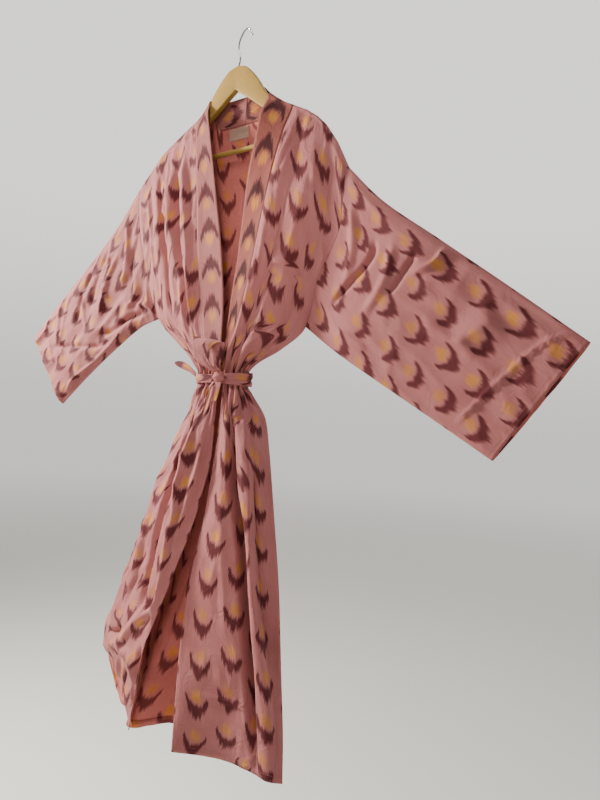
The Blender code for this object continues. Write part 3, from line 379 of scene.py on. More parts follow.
# Where the pattern starts on each piece: columns across, rows down (m)
PATTERN_FROM = {"back": (0.010, 0.030)}
ROWS = np.concatenate([
    np.linspace(-0.2100, -0.2145, 7), np.linspace(-0.2165, -0.2550, 10), np.linspace(-0.2605, -0.6600, 66),
    np.linspace(-0.6640, -0.8000, 44), np.linspace(-0.8060, -1.4110, 96),
])


def shoulder_z(x):
    return np.interp(x, SHOULDER[:, 0] * MM, SHOULDER[:, 1] * MM) + CLOTH_LIFT


def neck_share(x):
    """1 across the back of the neck, 0 on the shoulders."""
    return ease((x + 86 * MM) / (42 * MM)) * ease((136 * MM - x) / (42 * MM))


def over_hanger(drop):
    """How far the cloth stands off the hanger's middle plane, this far below the shoulder line."""
    return CLOTH_OFF * np.sqrt(1 - (1 - np.clip(drop / (5 * MM), 0, 1)) ** 2)


def neck_seam_line(x):
    """Seam between back panel and neck band: depth and height."""
    over = shoulder_z(x)
    behind = np.clip((x + 100 * MM) / (14 * MM), 0, 1) * np.clip((150 * MM - x) / (14 * MM), 0, 1)
    depth = CLOTH_OFF * behind + (NECK_Y - CLOTH_OFF) * neck_share(x)
    return depth, over + (NECK_SEAM_Z - over) * neck_share(x)


def waist_plan(height, angles):
    """Oval in which the sash holds the cloth, a little fuller above and below it."""
    full = 1 + 0.11 * max(0, abs(height - WAIST_Z) - 14 * MM) / (11 * MM)
    turn = np.radians(angles)
    return np.stack(
        [WAIST_X + WAIST_A * full * np.sin(turn), WAIST_Y - WAIST_B * full * np.cos(turn)], -1
    )


def plan_rows(table, sides, above, below):
    """Rows of (height, places, xy): the table, its side lines, and the oval over and under the sash."""
    rows = {row[0]: [tuple(point) for point in row[1:].reshape(-1, 2)] for row in table}
    heights = sorted(set(rows) | set(SASH_ROWS), reverse=True)
    made = []
    for height in heights:
        if height in rows:
            line = [np.array(point) * MM for point in rows[height]]
        else:
            line = list(waist_plan(height * MM, above if height > BELOW_SASH else below))
        for side, index, column in sides:
            end = smooth(height, side[:, 0], side[:, 1:])[[0, column]] * MM
            line.insert(index if index >= 0 else len(line), end)
        made.append(line)
    return np.array(heights) * MM, np.array(made)


def hem_lift(kind, across):
    """How far the left side's hem has crumpled up."""
    if kind == "front_left":
        return smooth(across, (0, 0.17, 0.4, 0.7, 1), (0, 26, 48, 66, 84)) * MM
    if kind == "back":
        return 84 * MM * (1 - ease(across / 0.24))
    return np.zeros(len(across))


BACK_TURNS = (-117, -149.4, -171, -189, -225)  # where the back's places lie on the oval (degrees)
PLANS = {
    "back": (*plan_rows(BACK, [(SIDE_LEFT, 0, 2), (SIDE_RIGHT, -1, 2)], BACK_TURNS, BACK_TURNS),
             np.array(BACK_PLACES)),
}


def body_points(kind, across, heights):
    """Middle of the cloth at each height (rows) and place across (columns), before the folds."""
    knots, plan, places = PLANS[kind]
    at_height = smooth(heights, knots, plan)
    xy = np.moveaxis(smooth(across, places, np.moveaxis(at_height, 1, 0)), 0, 1)
    top_x = smooth(across, places, plan[0])[:, 0]
    top = neck_seam_line(top_x)[1] if kind == "back" else shoulder_z(top_x)
    at_left, at_right = UNDERARMS[kind]
    under = at_left + (at_right - at_left) * across
    heights = np.asarray(heights, float)[:, None]
    if kind == "back":
        seam = neck_seam_line(xy[..., 0])[0]
        xy[..., 1] += (seam - xy[..., 1]) * (1 - ease((SHOULDER_Z - heights) / (15 * MM)))
    upper = (SHOULDER_Z - heights) / (SHOULDER_Z - UNDERARM_Z)
    z_upper = top + (under - top) * np.clip(upper, 0, 1)
    shift = (under - UNDERARM_Z) * (1 - ease((UNDERARM_Z - heights) / (90 * MM)))
    z = np.where(upper < 1, z_upper, heights + shift)
    z = z + hem_lift(kind, across) * ease((LIFT_FROM_Z - heights) / (LIFT_FROM_Z - HEM_Z))
    clear = np.where(upper < 1, over_hanger(shoulder_z(xy[..., 0]) - z), 0)
    if kind == "back":
        xy[..., 1] = np.where(upper < 0.5, np.maximum(xy[..., 1], clear), xy[..., 1])
    else:
        xy[..., 1] = np.where(upper < 0.5, np.minimum(xy[..., 1], -clear), xy[..., 1])
    return np.concatenate([xy, z[..., None]], -1)


def fold_height(kind, across, heights):
    """Height of the folds off the plain form; nothing at the seams, so neighbours still meet."""
    place = np.asarray(across)[None, :]
    total = np.zeros((len(heights), len(across)))
    for row in FOLDS[kind]:
        middle = smooth(heights, (SHOULDER_Z, WAIST_Z, HEM_Z), row[0:3])[:, None]
        size = smooth(heights, FOLD_LEVELS, row[4:])[:, None] * MM
        bump = np.clip(1 - np.abs(place - middle) / (row[3] * 1.3), 0, 1)
        total += size * (0.6 * ease(bump) + 0.4 * bump**2.2)
    near = np.clip(1 - np.abs(heights - WAIST_Z) / GATHER_REACH, 0, 1)
    tuck = 0.5 - 0.5 * np.cos(2 * math.pi * GATHERS[kind] * place)
    total -= GATHER_DEPTH * ease(near)[:, None] * tuck
    window = ease(np.minimum(place, 1 - place) / 0.07)
    return total * window


def crumple(u, v, size, seed):
    """Smooth random relief, about -1 to 1, with bumps of this size in each direction (m)."""
    lattice = np.random.default_rng(seed).uniform(-1, 1, (128, 128))
    x, y = u / size[0] + 31.7, v / size[1] + 17.3
    i, j = np.floor(x).astype(int), np.floor(y).astype(int)
    fx, fy = ease(x - i), ease(y - j)
    i, j, i2, j2 = i % 128, j % 128, (i + 1) % 128, (j + 1) % 128
    low = lattice[i, j] * (1 - fx) + lattice[i2, j] * fx
    high = lattice[i, j2] * (1 - fx) + lattice[i2, j2] * fx
    return low * (1 - fy) + high * fy


def creases(points, table):
    """Creases along lines: height, half widths to its left and right, then x, z of each point (mm)."""
    x, z = points[..., 0] / MM, points[..., 2] / MM
    total = np.zeros_like(x)
    for height, left, right, *spots in table:
        knots = np.array(spots, float).reshape(-1, 2)
        run = run_along(knots)
        line = smooth(np.linspace(0, run[-1], 4 * len(knots)), run, knots)
        best, side, place = np.full(x.shape, 1e9), np.zeros_like(x), np.zeros_like(x)
        for i, (start, end) in enumerate(zip(line[:-1], line[1:])):
            way = end - start
            t = np.clip(((x - start[0]) * way[0] + (z - start[1]) * way[1]) / (way @ way), 0, 1)
            far = np.hypot(x - start[0] - t * way[0], z - start[1] - t * way[1])
            turn = (x - start[0]) * way[1] - (z - start[1]) * way[0]
            closer = far < best
            best = np.where(closer, far, best)
            side = np.where(closer, turn, side)
            place = np.where(closer, (i + t) / (len(line) - 1), place)
        near = np.clip(1 - best / np.where(side > 0, left, right), 0, 1)
        taper = ease(np.minimum(place, 1 - place) / 0.25 + 0.1)
        total += height * MM * taper * (0.3 * ease(near) + 0.7 * near**1.2)
    return total


def normals_of(points, closed=False):
    """Unit normal at each point of a grid."""
    if closed:
        along = np.roll(points, -1, 1) - np.roll(points, 1, 1)
    else:
        along = np.gradient(points, axis=1)
    normal = np.cross(along, np.gradient(points, axis=0))
    return normal / np.maximum(np.linalg.norm(normal, axis=-1, keepdims=True), 1e-12)


def cloth_map(kind, plain, points, lift):
    """Place of each point on the flat cloth (m). What a deep fold hides is taken up in its valley."""
    at_shoulder, at_waist, side = CUTS[kind]
    step = np.linalg.norm(np.diff(points, axis=1), axis=-1)
    valley = np.clip(-lift / (9 * MM), 0, 1) ** 2
    valley = 0.5 * (valley[:, 1:] + valley[:, :-1]) + 0.004
    start = at_shoulder + (at_waist - at_shoulder) * ease((SHOULDER_Z - ROWS) / (SHOULDER_Z - WAIST_Z))
    spare = (side - start) - step.sum(axis=1)
    more = np.clip(spare, 0, None) / (step * valley).sum(axis=1)
    step = step * (1 + more[:, None] * valley)
    u = np.concatenate([np.zeros((len(points), 1)), np.cumsum(step, axis=1)], axis=1)
    u = start[:, None] + u
    down = np.linalg.norm(np.diff(plain, axis=0), axis=-1)
    v = np.concatenate([np.zeros((1, plain.shape[1])), np.cumsum(down, axis=0)], axis=0)
    return u, v


def grid_faces(rows, columns, closed, turned):
    faces = []
    for r in range(rows - 1):
        for c in range(columns if closed else columns - 1):
            d = (c + 1) % columns
            face = (r * columns + c, r * columns + d, (r + 1) * columns + d, (r + 1) * columns + c)
            faces.append(face[::-1] if turned else face)
    return faces


def cloth_piece(name, node, sheets, materials, closed=False, turned=False, wall=WALL):
    """Thin cloth on one or more grids of (points, u, v): the first the face, others turned-in hems."""
    vertices, faces, uvs = [], [], []
    for points, u, v in sheets:
        rows, columns = points.shape[:2]
        base = len(vertices)
        vertices += points.reshape(-1, 3).tolist()
        made = grid_faces(rows, columns, closed, turned)
        u, v = u.ravel(), v.ravel()
        for face in made:
            if closed:
                # The last column of u and v repeats the first at the far side of the seam
                wide = columns + 1
                ends = [(i // columns, i % columns) for i in face]
                last = any(c == columns - 1 for _, c in ends)
                for r, c in ends:
                    at = r * wide + (columns if last and c == 0 else c)
                    uvs.append((u[at], v[at]))
            else:
                uvs += [(u[i], v[i]) for i in face]
        faces += [tuple(base + i for i in face) for face in made]
    obj = piece(name, vertices, faces, node, materials, uvs)
    wall_of = obj.modifiers.new("wall", "SOLIDIFY")
    wall_of.thickness = wall
    wall_of.offset = 0
    wall_of.material_offset = len(materials) - 1
    return obj


# The cup's upper and lower edge, charted: the height at each distance from its middle (mm)
MOTIF_HALF, MOTIF_TALL = 26.0, 40.0
CUP_EDGES = {
    "pointed": (
        [(0, -5), (7, -5), (12, -2), (16, 4), (19, 10), (21.5, 12), (23.5, 3), (26, -38)],
        [(0, -36), (4, -31), (8, -27), (13, -21), (17, -14.5), (20, -7), (23.5, 6), (26, 22)],
    ),
    "round": (
        [(0, -5), (8, -4.5), (13, -1), (17, 5), (20, 8), (22.5, 3), (26, -38)],
        [(0, -31), (4, -28), (6.5, -24), (11, -22.5), (15, -20), (18.5, -14), (22, -3), (26, 14)],
    ),
}
TOOTH_ABOVE, TOOTH_BELOW, TOOTH_IN_DOT = 6.0, 8.5, 8.0  # reach of the teeth along the threads (mm)
DOT_UP, DOT_WIDE, DOT_TALL = 9.5, 10.0, 10.5  # its place above the motif's middle and half sizes (mm)
MOTIF_STRAY = 5.0  # how far a motif may lie off its place, from end to end (mm)


def ikat_group():
    """Warp ikat in half-drop columns: a cup with ragged ends, and a dot that sits in it."""
    group, given, result = group_ends(
        "warp_ikat",
        [("Cloth", "Vector", None), ("Column", "Float", 0.052), ("Row", "Float", 0.0732),
         ("Bundle", "Float", 0.0023)],
        [("Cup", "Float", None), ("Dot", "Float", None), ("Warp", "Float", None)],
    )
    uv = put(group, "ShaderNodeSeparateXYZ", feeds={0: given["Cloth"]})
    u, v = uv.outputs[0], uv.outputs[1]
    across = calc(group, "DIVIDE", u, given["Column"])
    column = calc(group, "FLOOR", across)
    odd = calc(group, "FLOORED_MODULO", column, 2.0)
    down = calc(group, "ADD", calc(group, "DIVIDE", v, given["Row"]), calc(group, "MULTIPLY", odd, 0.5))
    row = calc(group, "FLOOR", down)
    # Millimetres from the middle of the motif: x across (less in narrow columns), y up
    x = calc(group, "MULTIPLY", calc(group, "SUBTRACT", calc(group, "FRACT", across), 0.5),
             calc(group, "MULTIPLY_ADD", given["Column"], 450.0, 34.0))
    y = calc(group, "MULTIPLY", calc(group, "SUBTRACT", 0.5, calc(group, "FRACT", down)),
             calc(group, "MULTIPLY", given["Row"], 1000.0))
    # Each bundle was tied a little off its neighbours, which leaves pointed teeth along the threads
    tied = calc(group, "DIVIDE", u, given["Bundle"])
    thread = put(group, "ShaderNodeCombineXYZ", feeds={0: calc(group, "FLOOR", tied), 1: row})
    luck = put(group, "ShaderNodeTexWhiteNoise", noise_dimensions="2D", feeds={"Vector": thread.outputs[0]})
    off = put(group, "ShaderNodeSeparateColor", feeds={0: luck.outputs[1]})
    middle = calc(group, "ABSOLUTE", calc(group, "SUBTRACT", calc(group, "FRACT", tied), 0.5))
    point = calc(group, "MULTIPLY_ADD", middle, -2.4, 0.60)
    reach = [calc(group, "ADD", calc(group, "SUBTRACT", off.outputs[i], 0.5), point) for i in (0, 1)]
    motif = put(group, "ShaderNodeCombineXYZ", feeds={0: column, 1: row, 2: 3.0})
    own = put(group, "ShaderNodeTexWhiteNoise", noise_dimensions="3D", feeds={"Vector": motif.outputs[0]})
    lean = put(group, "ShaderNodeSeparateColor", feeds={0: own.outputs[1]})
    x = calc(group, "ADD", x, calc(group, "MULTIPLY_ADD", lean.outputs[0], MOTIF_STRAY, -MOTIF_STRAY / 2))
    y = calc(group, "ADD", y, calc(group, "MULTIPLY_ADD", lean.outputs[1], MOTIF_STRAY, -MOTIF_STRAY / 2))
    away = calc(group, "ABSOLUTE", x)

    def edge(points):
        """Height of an edge (mm) by distance from the middle (mm), as a curve."""
        curve = put(group, "ShaderNodeFloatCurve", feeds={"Value": calc(group, "DIVIDE", away, MOTIF_HALF)})
        line = curve.mapping.curves[0]
        first, *others, last = [(far / MOTIF_HALF, high / (2 * MOTIF_TALL) + 0.5) for far, high in points]
        line.points[0].location, line.points[-1].location = first, last
        for place in others:
            line.points.new(*place)
        curve.mapping.update()
        return calc(group, "MULTIPLY_ADD", curve.outputs[0], 2 * MOTIF_TALL, -MOTIF_TALL)

    # Columns of pointed cups stand between columns of round ones
    upper, lower = [
        put(group, "ShaderNodeMix", data_type="FLOAT",
            feeds={0: odd, 2: edge(pointed), 3: edge(rounded)}).outputs[0]
        for pointed, rounded in zip(CUP_EDGES["pointed"], CUP_EDGES["round"])
    ]
    top = calc(group, "SUBTRACT", calc(group, "MULTIPLY_ADD", reach[0], TOOTH_ABOVE, upper), y)
    bottom = calc(group, "SUBTRACT", y, calc(group, "MULTIPLY_ADD", reach[1], -TOOTH_BELOW, lower))
    cup = calc(group, "MULTIPLY", calc(group, "MINIMUM", top, bottom), 0.9, clamp=True)
    group.links.new(cup, result["Cup"])
    streak = put(group, "ShaderNodeVectorMath", operation="MULTIPLY",
                 feeds={0: given["Cloth"], 1: (900.0, 22.0, 1.0)})
    warp = put(group, "ShaderNodeTexNoise", noise_dimensions="2D",
               feeds={"Vector": streak.outputs[0], "Scale": 1.0, "Detail": 3.0})
    group.links.new(warp.outputs[0], result["Warp"])
    # The dot ran more than the cup: a softer, streaky edge, and some dots took less dye
    dot_y = calc(group, "MULTIPLY_ADD", reach[1], TOOTH_IN_DOT, calc(group, "SUBTRACT", y, DOT_UP))
    off_middle = [calc(group, "POWER", calc(group, "DIVIDE", calc(group, "ABSOLUTE", offset), half), 2.2)
                  for offset, half in ((x, DOT_WIDE), (dot_y, DOT_TALL))]
    dot = calc(group, "SUBTRACT", 1.5, calc(group, "ADD", *off_middle), clamp=True)
    fresh = calc(group, "MULTIPLY_ADD", lean.outputs[2], 0.35, 0.62)
    streaky = calc(group, "MULTIPLY", fresh, calc(group, "MULTIPLY_ADD", warp.outputs[0], 0.9, 0.5))
    group.links.new(calc(group, "MULTIPLY", dot, streaky, clamp=True), result["Dot"])
    return group


def plain_weave_group():
    """Plain weave: threads over and under, as a height."""
    group, given, result = group_ends(
        "plain_weave",
        [("Cloth", "Vector", None), ("Threads per m", "Float", 2400.0)],
        [("Height", "Float", None)],
    )
    uv = put(group, "ShaderNodeSeparateXYZ", feeds={0: given["Cloth"]})
    waves = []
    pace = calc(group, "MULTIPLY", given["Threads per m"], math.pi)
    for axis in (0, 1):
        waves.append(calc(group, "SINE", calc(group, "MULTIPLY", uv.outputs[axis], pace)))
    group.links.new(calc(group, "MULTIPLY_ADD", calc(group, "MULTIPLY", *waves), 0.5, 0.5), result["Height"])
    return group


def soft_wrinkle_group():
    """Small wrinkles that handling leaves in thin cotton."""
    group, given, result = group_ends(
        "soft_wrinkles",
        [("Cloth", "Vector", None), ("Size", "Float", 26.0)],
        [("Height", "Float", None)],
    )
    warp = put(group, "ShaderNodeTexNoise", noise_dimensions="2D",
               feeds={"Vector": given["Cloth"], "Scale": given["Size"], "Detail": 4.0, "Roughness": 0.66,
                      "Distortion": 0.9})
    ridge = calc(group, "ABSOLUTE", calc(group, "MULTIPLY_ADD", warp.outputs[0], 2.0, -1.0))
    group.links.new(calc(group, "SUBTRACT", 1.0, ridge), result["Height"])
    return group


IKAT, WEAVE, WRINKLES = ikat_group(), plain_weave_group(), soft_wrinkle_group()
BODY_COLUMN, SLEEVE_COLUMN = 0.0625, 0.0535  # how far apart the motifs stand across the cloth (m)
PINK, PINK_SHADE = (0.436, 0.160, 0.156), (0.350, 0.114, 0.111)
MAROON, ORANGE = (0.100, 0.020, 0.023), (0.540, 0.215, 0.030)
# Reverse side: the dyes warmer and brighter than on the face, partly its own colour and partly painted light
# for the glow through the thin cloth; glow is a weak painted glow, an emission
REVERSE_DYES_AND_PAINTED_GLOW = {"pink": (0.54, 0.160, 0.135), "shade": (0.45, 0.120, 0.100),
                "maroon": (0.150, 0.030, 0.030), "orange": (0.58, 0.19, 0.025), "glow": 0.05}


def ikat_cotton(name, column, pink=PINK, shade=PINK_SHADE, maroon=MAROON, orange=ORANGE,
                wrinkle=0.75, glow=0.0):
    """The robe's cotton with motifs this far apart, in these colours (the dyes, with painted shade or light
    where a caller gives it); glow is an emission, a painted glow.
    """
    made, tree, shader = new_material(name)
    cloth = put(tree, "ShaderNodeUVMap", uv_map="cloth").outputs[0]
    ikat = put(tree, "ShaderNodeGroup", node_tree=IKAT, feeds={"Cloth": cloth, "Column": column}).outputs
    cloudy = put(tree, "ShaderNodeTexNoise", noise_dimensions="2D",
                 feeds={"Vector": cloth, "Scale": 16.0, "Detail": 4.0})
    ground = mix_colour(tree, cloudy.outputs[0], (*pink, 1), (*shade, 1))
    with_dot = mix_colour(tree, calc(tree, "MULTIPLY", ikat["Dot"], 0.92), ground, (*orange, 1))
    dyed = mix_colour(tree, calc(tree, "MULTIPLY", ikat["Cup"], 0.99), with_dot, (*maroon, 1))
    streak = calc(tree, "MULTIPLY_ADD", ikat["Warp"], 0.34, 0.83)
    threads = put(tree, "ShaderNodeVectorMath", operation="SCALE", feeds={0: dyed, "Scale": streak})
    tree.links.new(threads.outputs[0], shader.inputs["Base Color"])
    tree.links.new(calc(tree, "MULTIPLY_ADD", cloudy.outputs[0], 0.12, 0.72), shader.inputs["Roughness"])
    weave = put(tree, "ShaderNodeGroup", node_tree=WEAVE, feeds={"Cloth": cloth})
    fine = put(tree, "ShaderNodeBump",
               feeds={"Height": weave.outputs[0], "Distance": 0.0001, "Strength": 0.35})
    soft = put(tree, "ShaderNodeGroup", node_tree=WRINKLES, feeds={"Cloth": cloth})
    bump = put(tree, "ShaderNodeBump", feeds={"Height": soft.outputs[0], "Distance": 0.0020,
                                              "Strength": wrinkle, "Normal": fine.outputs[0]})
    tree.links.new(bump.outputs[0], shader.inputs["Normal"])
    # Painted glow: an emission in the cloth's own colours stands in for a little of the light behind coming
    # through the thin cloth
    tree.links.new(threads.outputs[0], shader.inputs["Emission Color"])
    shader.inputs["Emission Strength"].default_value = glow
    shader.inputs["Sheen Weight"].default_value = 0.03
    shader.inputs["Sheen Roughness"].default_value = 0.45
    shader.inputs["Specular IOR Level"].default_value = 0.12
    return made


COTTON = ikat_cotton("ikat_cotton_face", BODY_COLUMN)
# The reverse side's brighter colours and glow are painted light, the glow of light through the thin cloth
REVERSE = ikat_cotton("ikat_cotton_reverse_painted_glow", BODY_COLUMN, **REVERSE_DYES_AND_PAINTED_GLOW)

# Main creases of each piece: height (+ is outwards) and half widths to the left and
# right of the line, then x, z of each of its points (mm)
CREASES = {
    "back": [
        (5, 16, 12, -170, -240, -120, -360, -80, -500, -40, -640),
        (-5, 12, 12, -120, -230, -80, -360, -40, -520, -10, -650),
        (6, 14, 18, 180, -230, 150, -350, 120, -500, 90, -650),
        (-5, 12, 10, 130, -220, 110, -360, 90, -500, 70, -650),
        (4, 10, 14, 20, -300, 30, -420, 34, -560, 36, -680),
        (5, 14, 10, -160, -560, -100, -620, -40, -680),
        (5, 10, 14, 200, -590, 150, -640, 90, -690),
        (-7, 14, 14, 0, -780, -30, -900, -80, -1040, -110, -1200, -130, -1380),
        (7, 18, 12, 20, -790, 0, -920, -30, -1060, -60, -1220, -70, -1400),
        (6, 14, 16, 60, -790, 60, -930, 50, -1080, 30, -1230, 20, -1400),
        (-7, 14, 12, 80, -790, 90, -930, 100, -1080, 110, -1230, 110, -1390),
        (6, 14, 14, 110, -800, 130, -940, 150, -1090, 165, -1240, 175, -1400),
        (3, 8, 8, -150, -1060, -80, -1090, -20, -1080),
        (2.5, 7, 7, 30, -1180, 90, -1200, 160, -1190),
    ],
}
CRUMPLE = {"back": 2.2}  # height of the small relief (mm)
WAIST_CREASE = 3.4 * MM
RIDGE_FULL = 8 * MM  # above this the ridges flatten, as heavy folds sag


def waist_creases(u, v, plain_heights, seed):
    """Fine radiating creases above and below the sash, closer together than the main gathers."""
    off = np.abs(plain_heights - WAIST_Z)
    near = (np.exp(-off / (85 * MM)) * (1 - 0.6 * np.exp(-((off / (16 * MM)) ** 2))))[:, None]
    fine = crumple(u, v, (0.011, 0.16), seed) + 0.6 * crumple(u, v, (0.006, 0.11), seed + 1)
    return near * fine * WAIST_CREASE


def panel(kind, columns, seed):
    """A body panel: its grid with folds, creases and relief, and its places on the flat cloth."""
    across = np.linspace(0, 1, columns)
    plain = body_points(kind, across, ROWS)
    out = normals_of(plain) * (-1 if kind == "front_right" else 1)
    out[..., 2] = 0
    out /= np.maximum(np.linalg.norm(out, axis=-1, keepdims=True), 1e-12)
    window = ease(np.minimum(across, 1 - across) / 0.05)[None, :]
    window = window * ease((SHOULDER_Z - ROWS) / (18 * MM))[:, None]
    lift = fold_height(kind, across, ROWS) + creases(plain, CREASES[kind]) * window
    lift = np.where(lift > RIDGE_FULL, RIDGE_FULL + 0.45 * (lift - RIDGE_FULL), lift)
    u, v = cloth_map(kind, plain, plain + out * lift[..., None], lift)
    folded = 1 - 2 * np.abs(crumple(u, v, (0.030, 0.045), seed + 3))
    relief = CRUMPLE[kind] * MM * (crumple(u, v, (0.050, 0.075), seed + 2) + 0.8 * folded)
    detail = waist_creases(u, v, ROWS, seed) + relief
    points = plain + out * (lift + detail * window)[..., None]
    return points, u, v, out


def turned_hem(points, u, v, out, depth):
    """Inside of a hem: the last stretch of the panel, turned up and laid on the reverse."""
    rows = v[-1:] - v < depth
    count = max(3, int(rows[:, points.shape[1] // 2].sum()))
    return points[-count:] - out[-count:] * HEM_GAP, u[-count:], v[-count:]


def panel_piece(kind, node, shape):
    """A body panel and the inside of its hem, in the robe's cotton, as one piece."""
    points, u, v, out = shape
    du, dv = PATTERN_FROM[kind]
    inside, hem_u, hem_v = turned_hem(points, u, v, out, HEM_DEPTH)
    return cloth_piece(kind + "_cloth", node, [(points, u + du, v + dv), (inside, hem_u + du, hem_v + dv)],
                       [COTTON, REVERSE], turned=kind == "front_right")


HEM_DEPTH, HEM_GAP = 12 * MM, 0.9 * MM
BACK_COLUMNS = 132
back_points, back_u, back_v, back_out = panel("back", BACK_COLUMNS, 11)
back_sheet = panel_piece("back", "back_panel", (back_points, back_u, back_v, back_out))

# Left and right front: two lengths of the same cotton, sewn to the back at shoulder and side.
# The neck edge takes the band, and below the sash the free edge is a narrow plain hem.
FRONT_PLACES = (0, 0.25, 0.5, 0.75, 1)
FRONT_LEFT = np.array([
    # z      edge x, y    first x, y    middle x, y   third x, y
    (-210, -100, -1, -140, -1, -180, -1, -222, -1),
    (-225, -98, -11, -138, -10, -179, -9, -221, -9),
    (-260, -86, -22, -130, -17, -172, -14, -216, -12),
    (-350, -62, -36, -106, -34, -152, -28, -200, -20),
    (-490, -35, -46, -74, -48, -118, -40, -166, -27),
    (-610, -5, -53, -42, -58, -84, -51, -130, -32),
    (-660, 12, -58, -8, -62, -35, -54, -68, -34),
    (-800, 58, -62, 30, -70, -2, -62, -36, -36),
    (-855, 58, -63, 25, -76, -17, -69, -56, -38),
    (-967, 41, -71, 3, -85, -45, -77, -97, -42),
    (-1030, 31, -85, -14, -92, -69, -79, -126, -42),
    (-1100, 13, -99, -34, -96, -94, -77, -152, -40),
    (-1190, -23, -101, -72, -92, -130, -70, -188, -36),
    (-1255, -49, -100, -96, -88, -154, -62, -218, -29),
    (-1335, -66, -95, -111, -80, -167, -50, -230, -20),
    (-1411, -81, -90, -119, -70, -163, -44, -210, -16),
])
FRONT_RIGHT = np.array([
    # z      edge x, y    first x, y    middle x, y   third x, y
    (-210, 150, -1, 183, -1, 215, -1, 248, -1),
    (-225, 150, -11, 182, -10, 215, -9, 248, -9),
    (-260, 144, -22, 179, -18, 213, -15, 247, -12),
    (-350, 133, -40, 172, -36, 208, -28, 244, -19),
    (-490, 118, -56, 150, -48, 181, -36, 211, -23),
    (-610, 93, -60, 124, -54, 154, -41, 184, -24),
    (-660, 79, -62, 102, -58, 124, -46, 144, -28),
    (-800, 66, -59, 92, -64, 116, -57, 134, -38),
    (-855, 64, -61, 94, -68, 123, -61, 145, -40),
    (-967, 57, -69, 95, -76, 133, -67, 163, -46),
    (-1100, 42, -81, 90, -81, 136, -70, 176, -51),
    (-1190, 35, -85, 87, -79, 138, -68, 184, -53),
    (-1255, 33, -87, 86, -76, 139, -65, 189, -54),
    (-1335, 34, -89, 88, -70, 144, -58, 199, -55),
    (-1411, 36, -92, 92, -60, 150, -46, 214, -54),
])
FOLDS["front_left"] = [
    (0.20, 0.22, 0.22, 0.085, 0, 8, -4, 0, 0, 0),
    (0.40, 0.44, 0.44, 0.100, 0, 12, -4, 0, 0, 0),
    (0.66, 0.68, 0.68, 0.120, 0, 11, -5, 0, 0, 0),
    (0.30, 0.33, 0.33, 0.075, 0, -6, -4, 0, 0, 0),
    (0.74, 0.74, 0.74, 0.120, 0, 0, -4, 8, 14, 8),
]
FOLDS["front_right"] = [
    (0.10, 0.12, 0.12, 0.080, 0, 9, -4, 0, 0, 0),
    (0.24, 0.26, 0.26, 0.080, 0, -7, -4, 0, 0, 0),
    (0.48, 0.50, 0.50, 0.130, 0, 6, -3, 0, 0, 0),
    (0.76, 0.72, 0.72, 0.110, 0, -5, -4, 0, 0, 0),
]
GATHERS.update(front_left=6, front_right=5)
UNDERARMS.update(front_left=(-0.592, -0.592), front_right=(-0.624, -0.624))
CUTS.update(front_left=(0.115, 0.0, 0.290), front_right=(0.125, 0.0, 0.270))
PATTERN_FROM.update(front_left=(-0.012, 0.0495), front_right=(-0.012, 0.0015))
PLANS["front_left"] = (*plan_rows(FRONT_LEFT, [(SIDE_LEFT, -1, 1)], (0, -22, -45, -68), (15, -9, -37, -65)),
                       np.array(FRONT_PLACES))
PLANS["front_right"] = (*plan_rows(FRONT_RIGHT, [(SIDE_RIGHT, -1, 1)], (24, 41, 57, 74), (24, 41, 57, 74)),
                        np.array(FRONT_PLACES))
CREASES["front_left"] = [
    (9.5, 16, 9, -184, -215, -147, -325, -104, -441, -60, -556, -21, -670),
    (6.8, 12, 10, -231, -287, -197, -420, -156, -556, -116, -645),
    (6.8, 9, 9, -118, -233, -73, -403, -41, -548, -14, -662),
    (-8.1, 9, 10, -199, -259, -164, -382, -112, -541, -86, -652),
    (-6.8, 9, 8, -150, -223, -106, -391, -50, -549, -17, -662),
    (18.9, 20, 14, -30, -800, -79, -889, -88, -960, -100, -1040, -112, -1112, -152, -1188, -164, -1206),
    (17.6, 16, 7, 24, -800, 10, -860, -2, -940, 1, -990, -6, -1042, -7, -1099, -13, -1131, -25, -1194,
     -39, -1226),
    (-25.7, 14, 12, 6, -790, -20, -889, -38, -972, -50, -1035, -60, -1112, -75, -1182),
    (-13.5, 13, 12, -62, -850, -89, -914, -125, -1003, -173, -1112, -209, -1200),
    (12.2, 14, 9, -75, -870, -105, -930, -150, -1020, -190, -1110, -225, -1200),
    (12.2, 20, 14, -242, -1298, -190, -1285, -96, -1272, -63, -1322, -74, -1373),
    (10.8, 12, 18, -270, -1328, -200, -1290, -136, -1256, -80, -1200, -39, -1150),
    (-14.9, 12, 12, -56, -1240, -60, -1284, -65, -1309, -75, -1379),
    (9.5, 9, 9, 11, -1105, -3, -1144, -39, -1175, -90, -1210),
    (8.1, 9, 14, 44, -844, 34, -902, 21, -959, 8, -1035, 2, -1099),
    (-9.5, 10, 10, -150, -1230, -190, -1260, -250, -1275),
    (-10.8, 12, 12, -110, -1300, -130, -1340, -150, -1400),
    (9.5, 12, 12, -160, -1290, -180, -1340, -195, -1400),
]
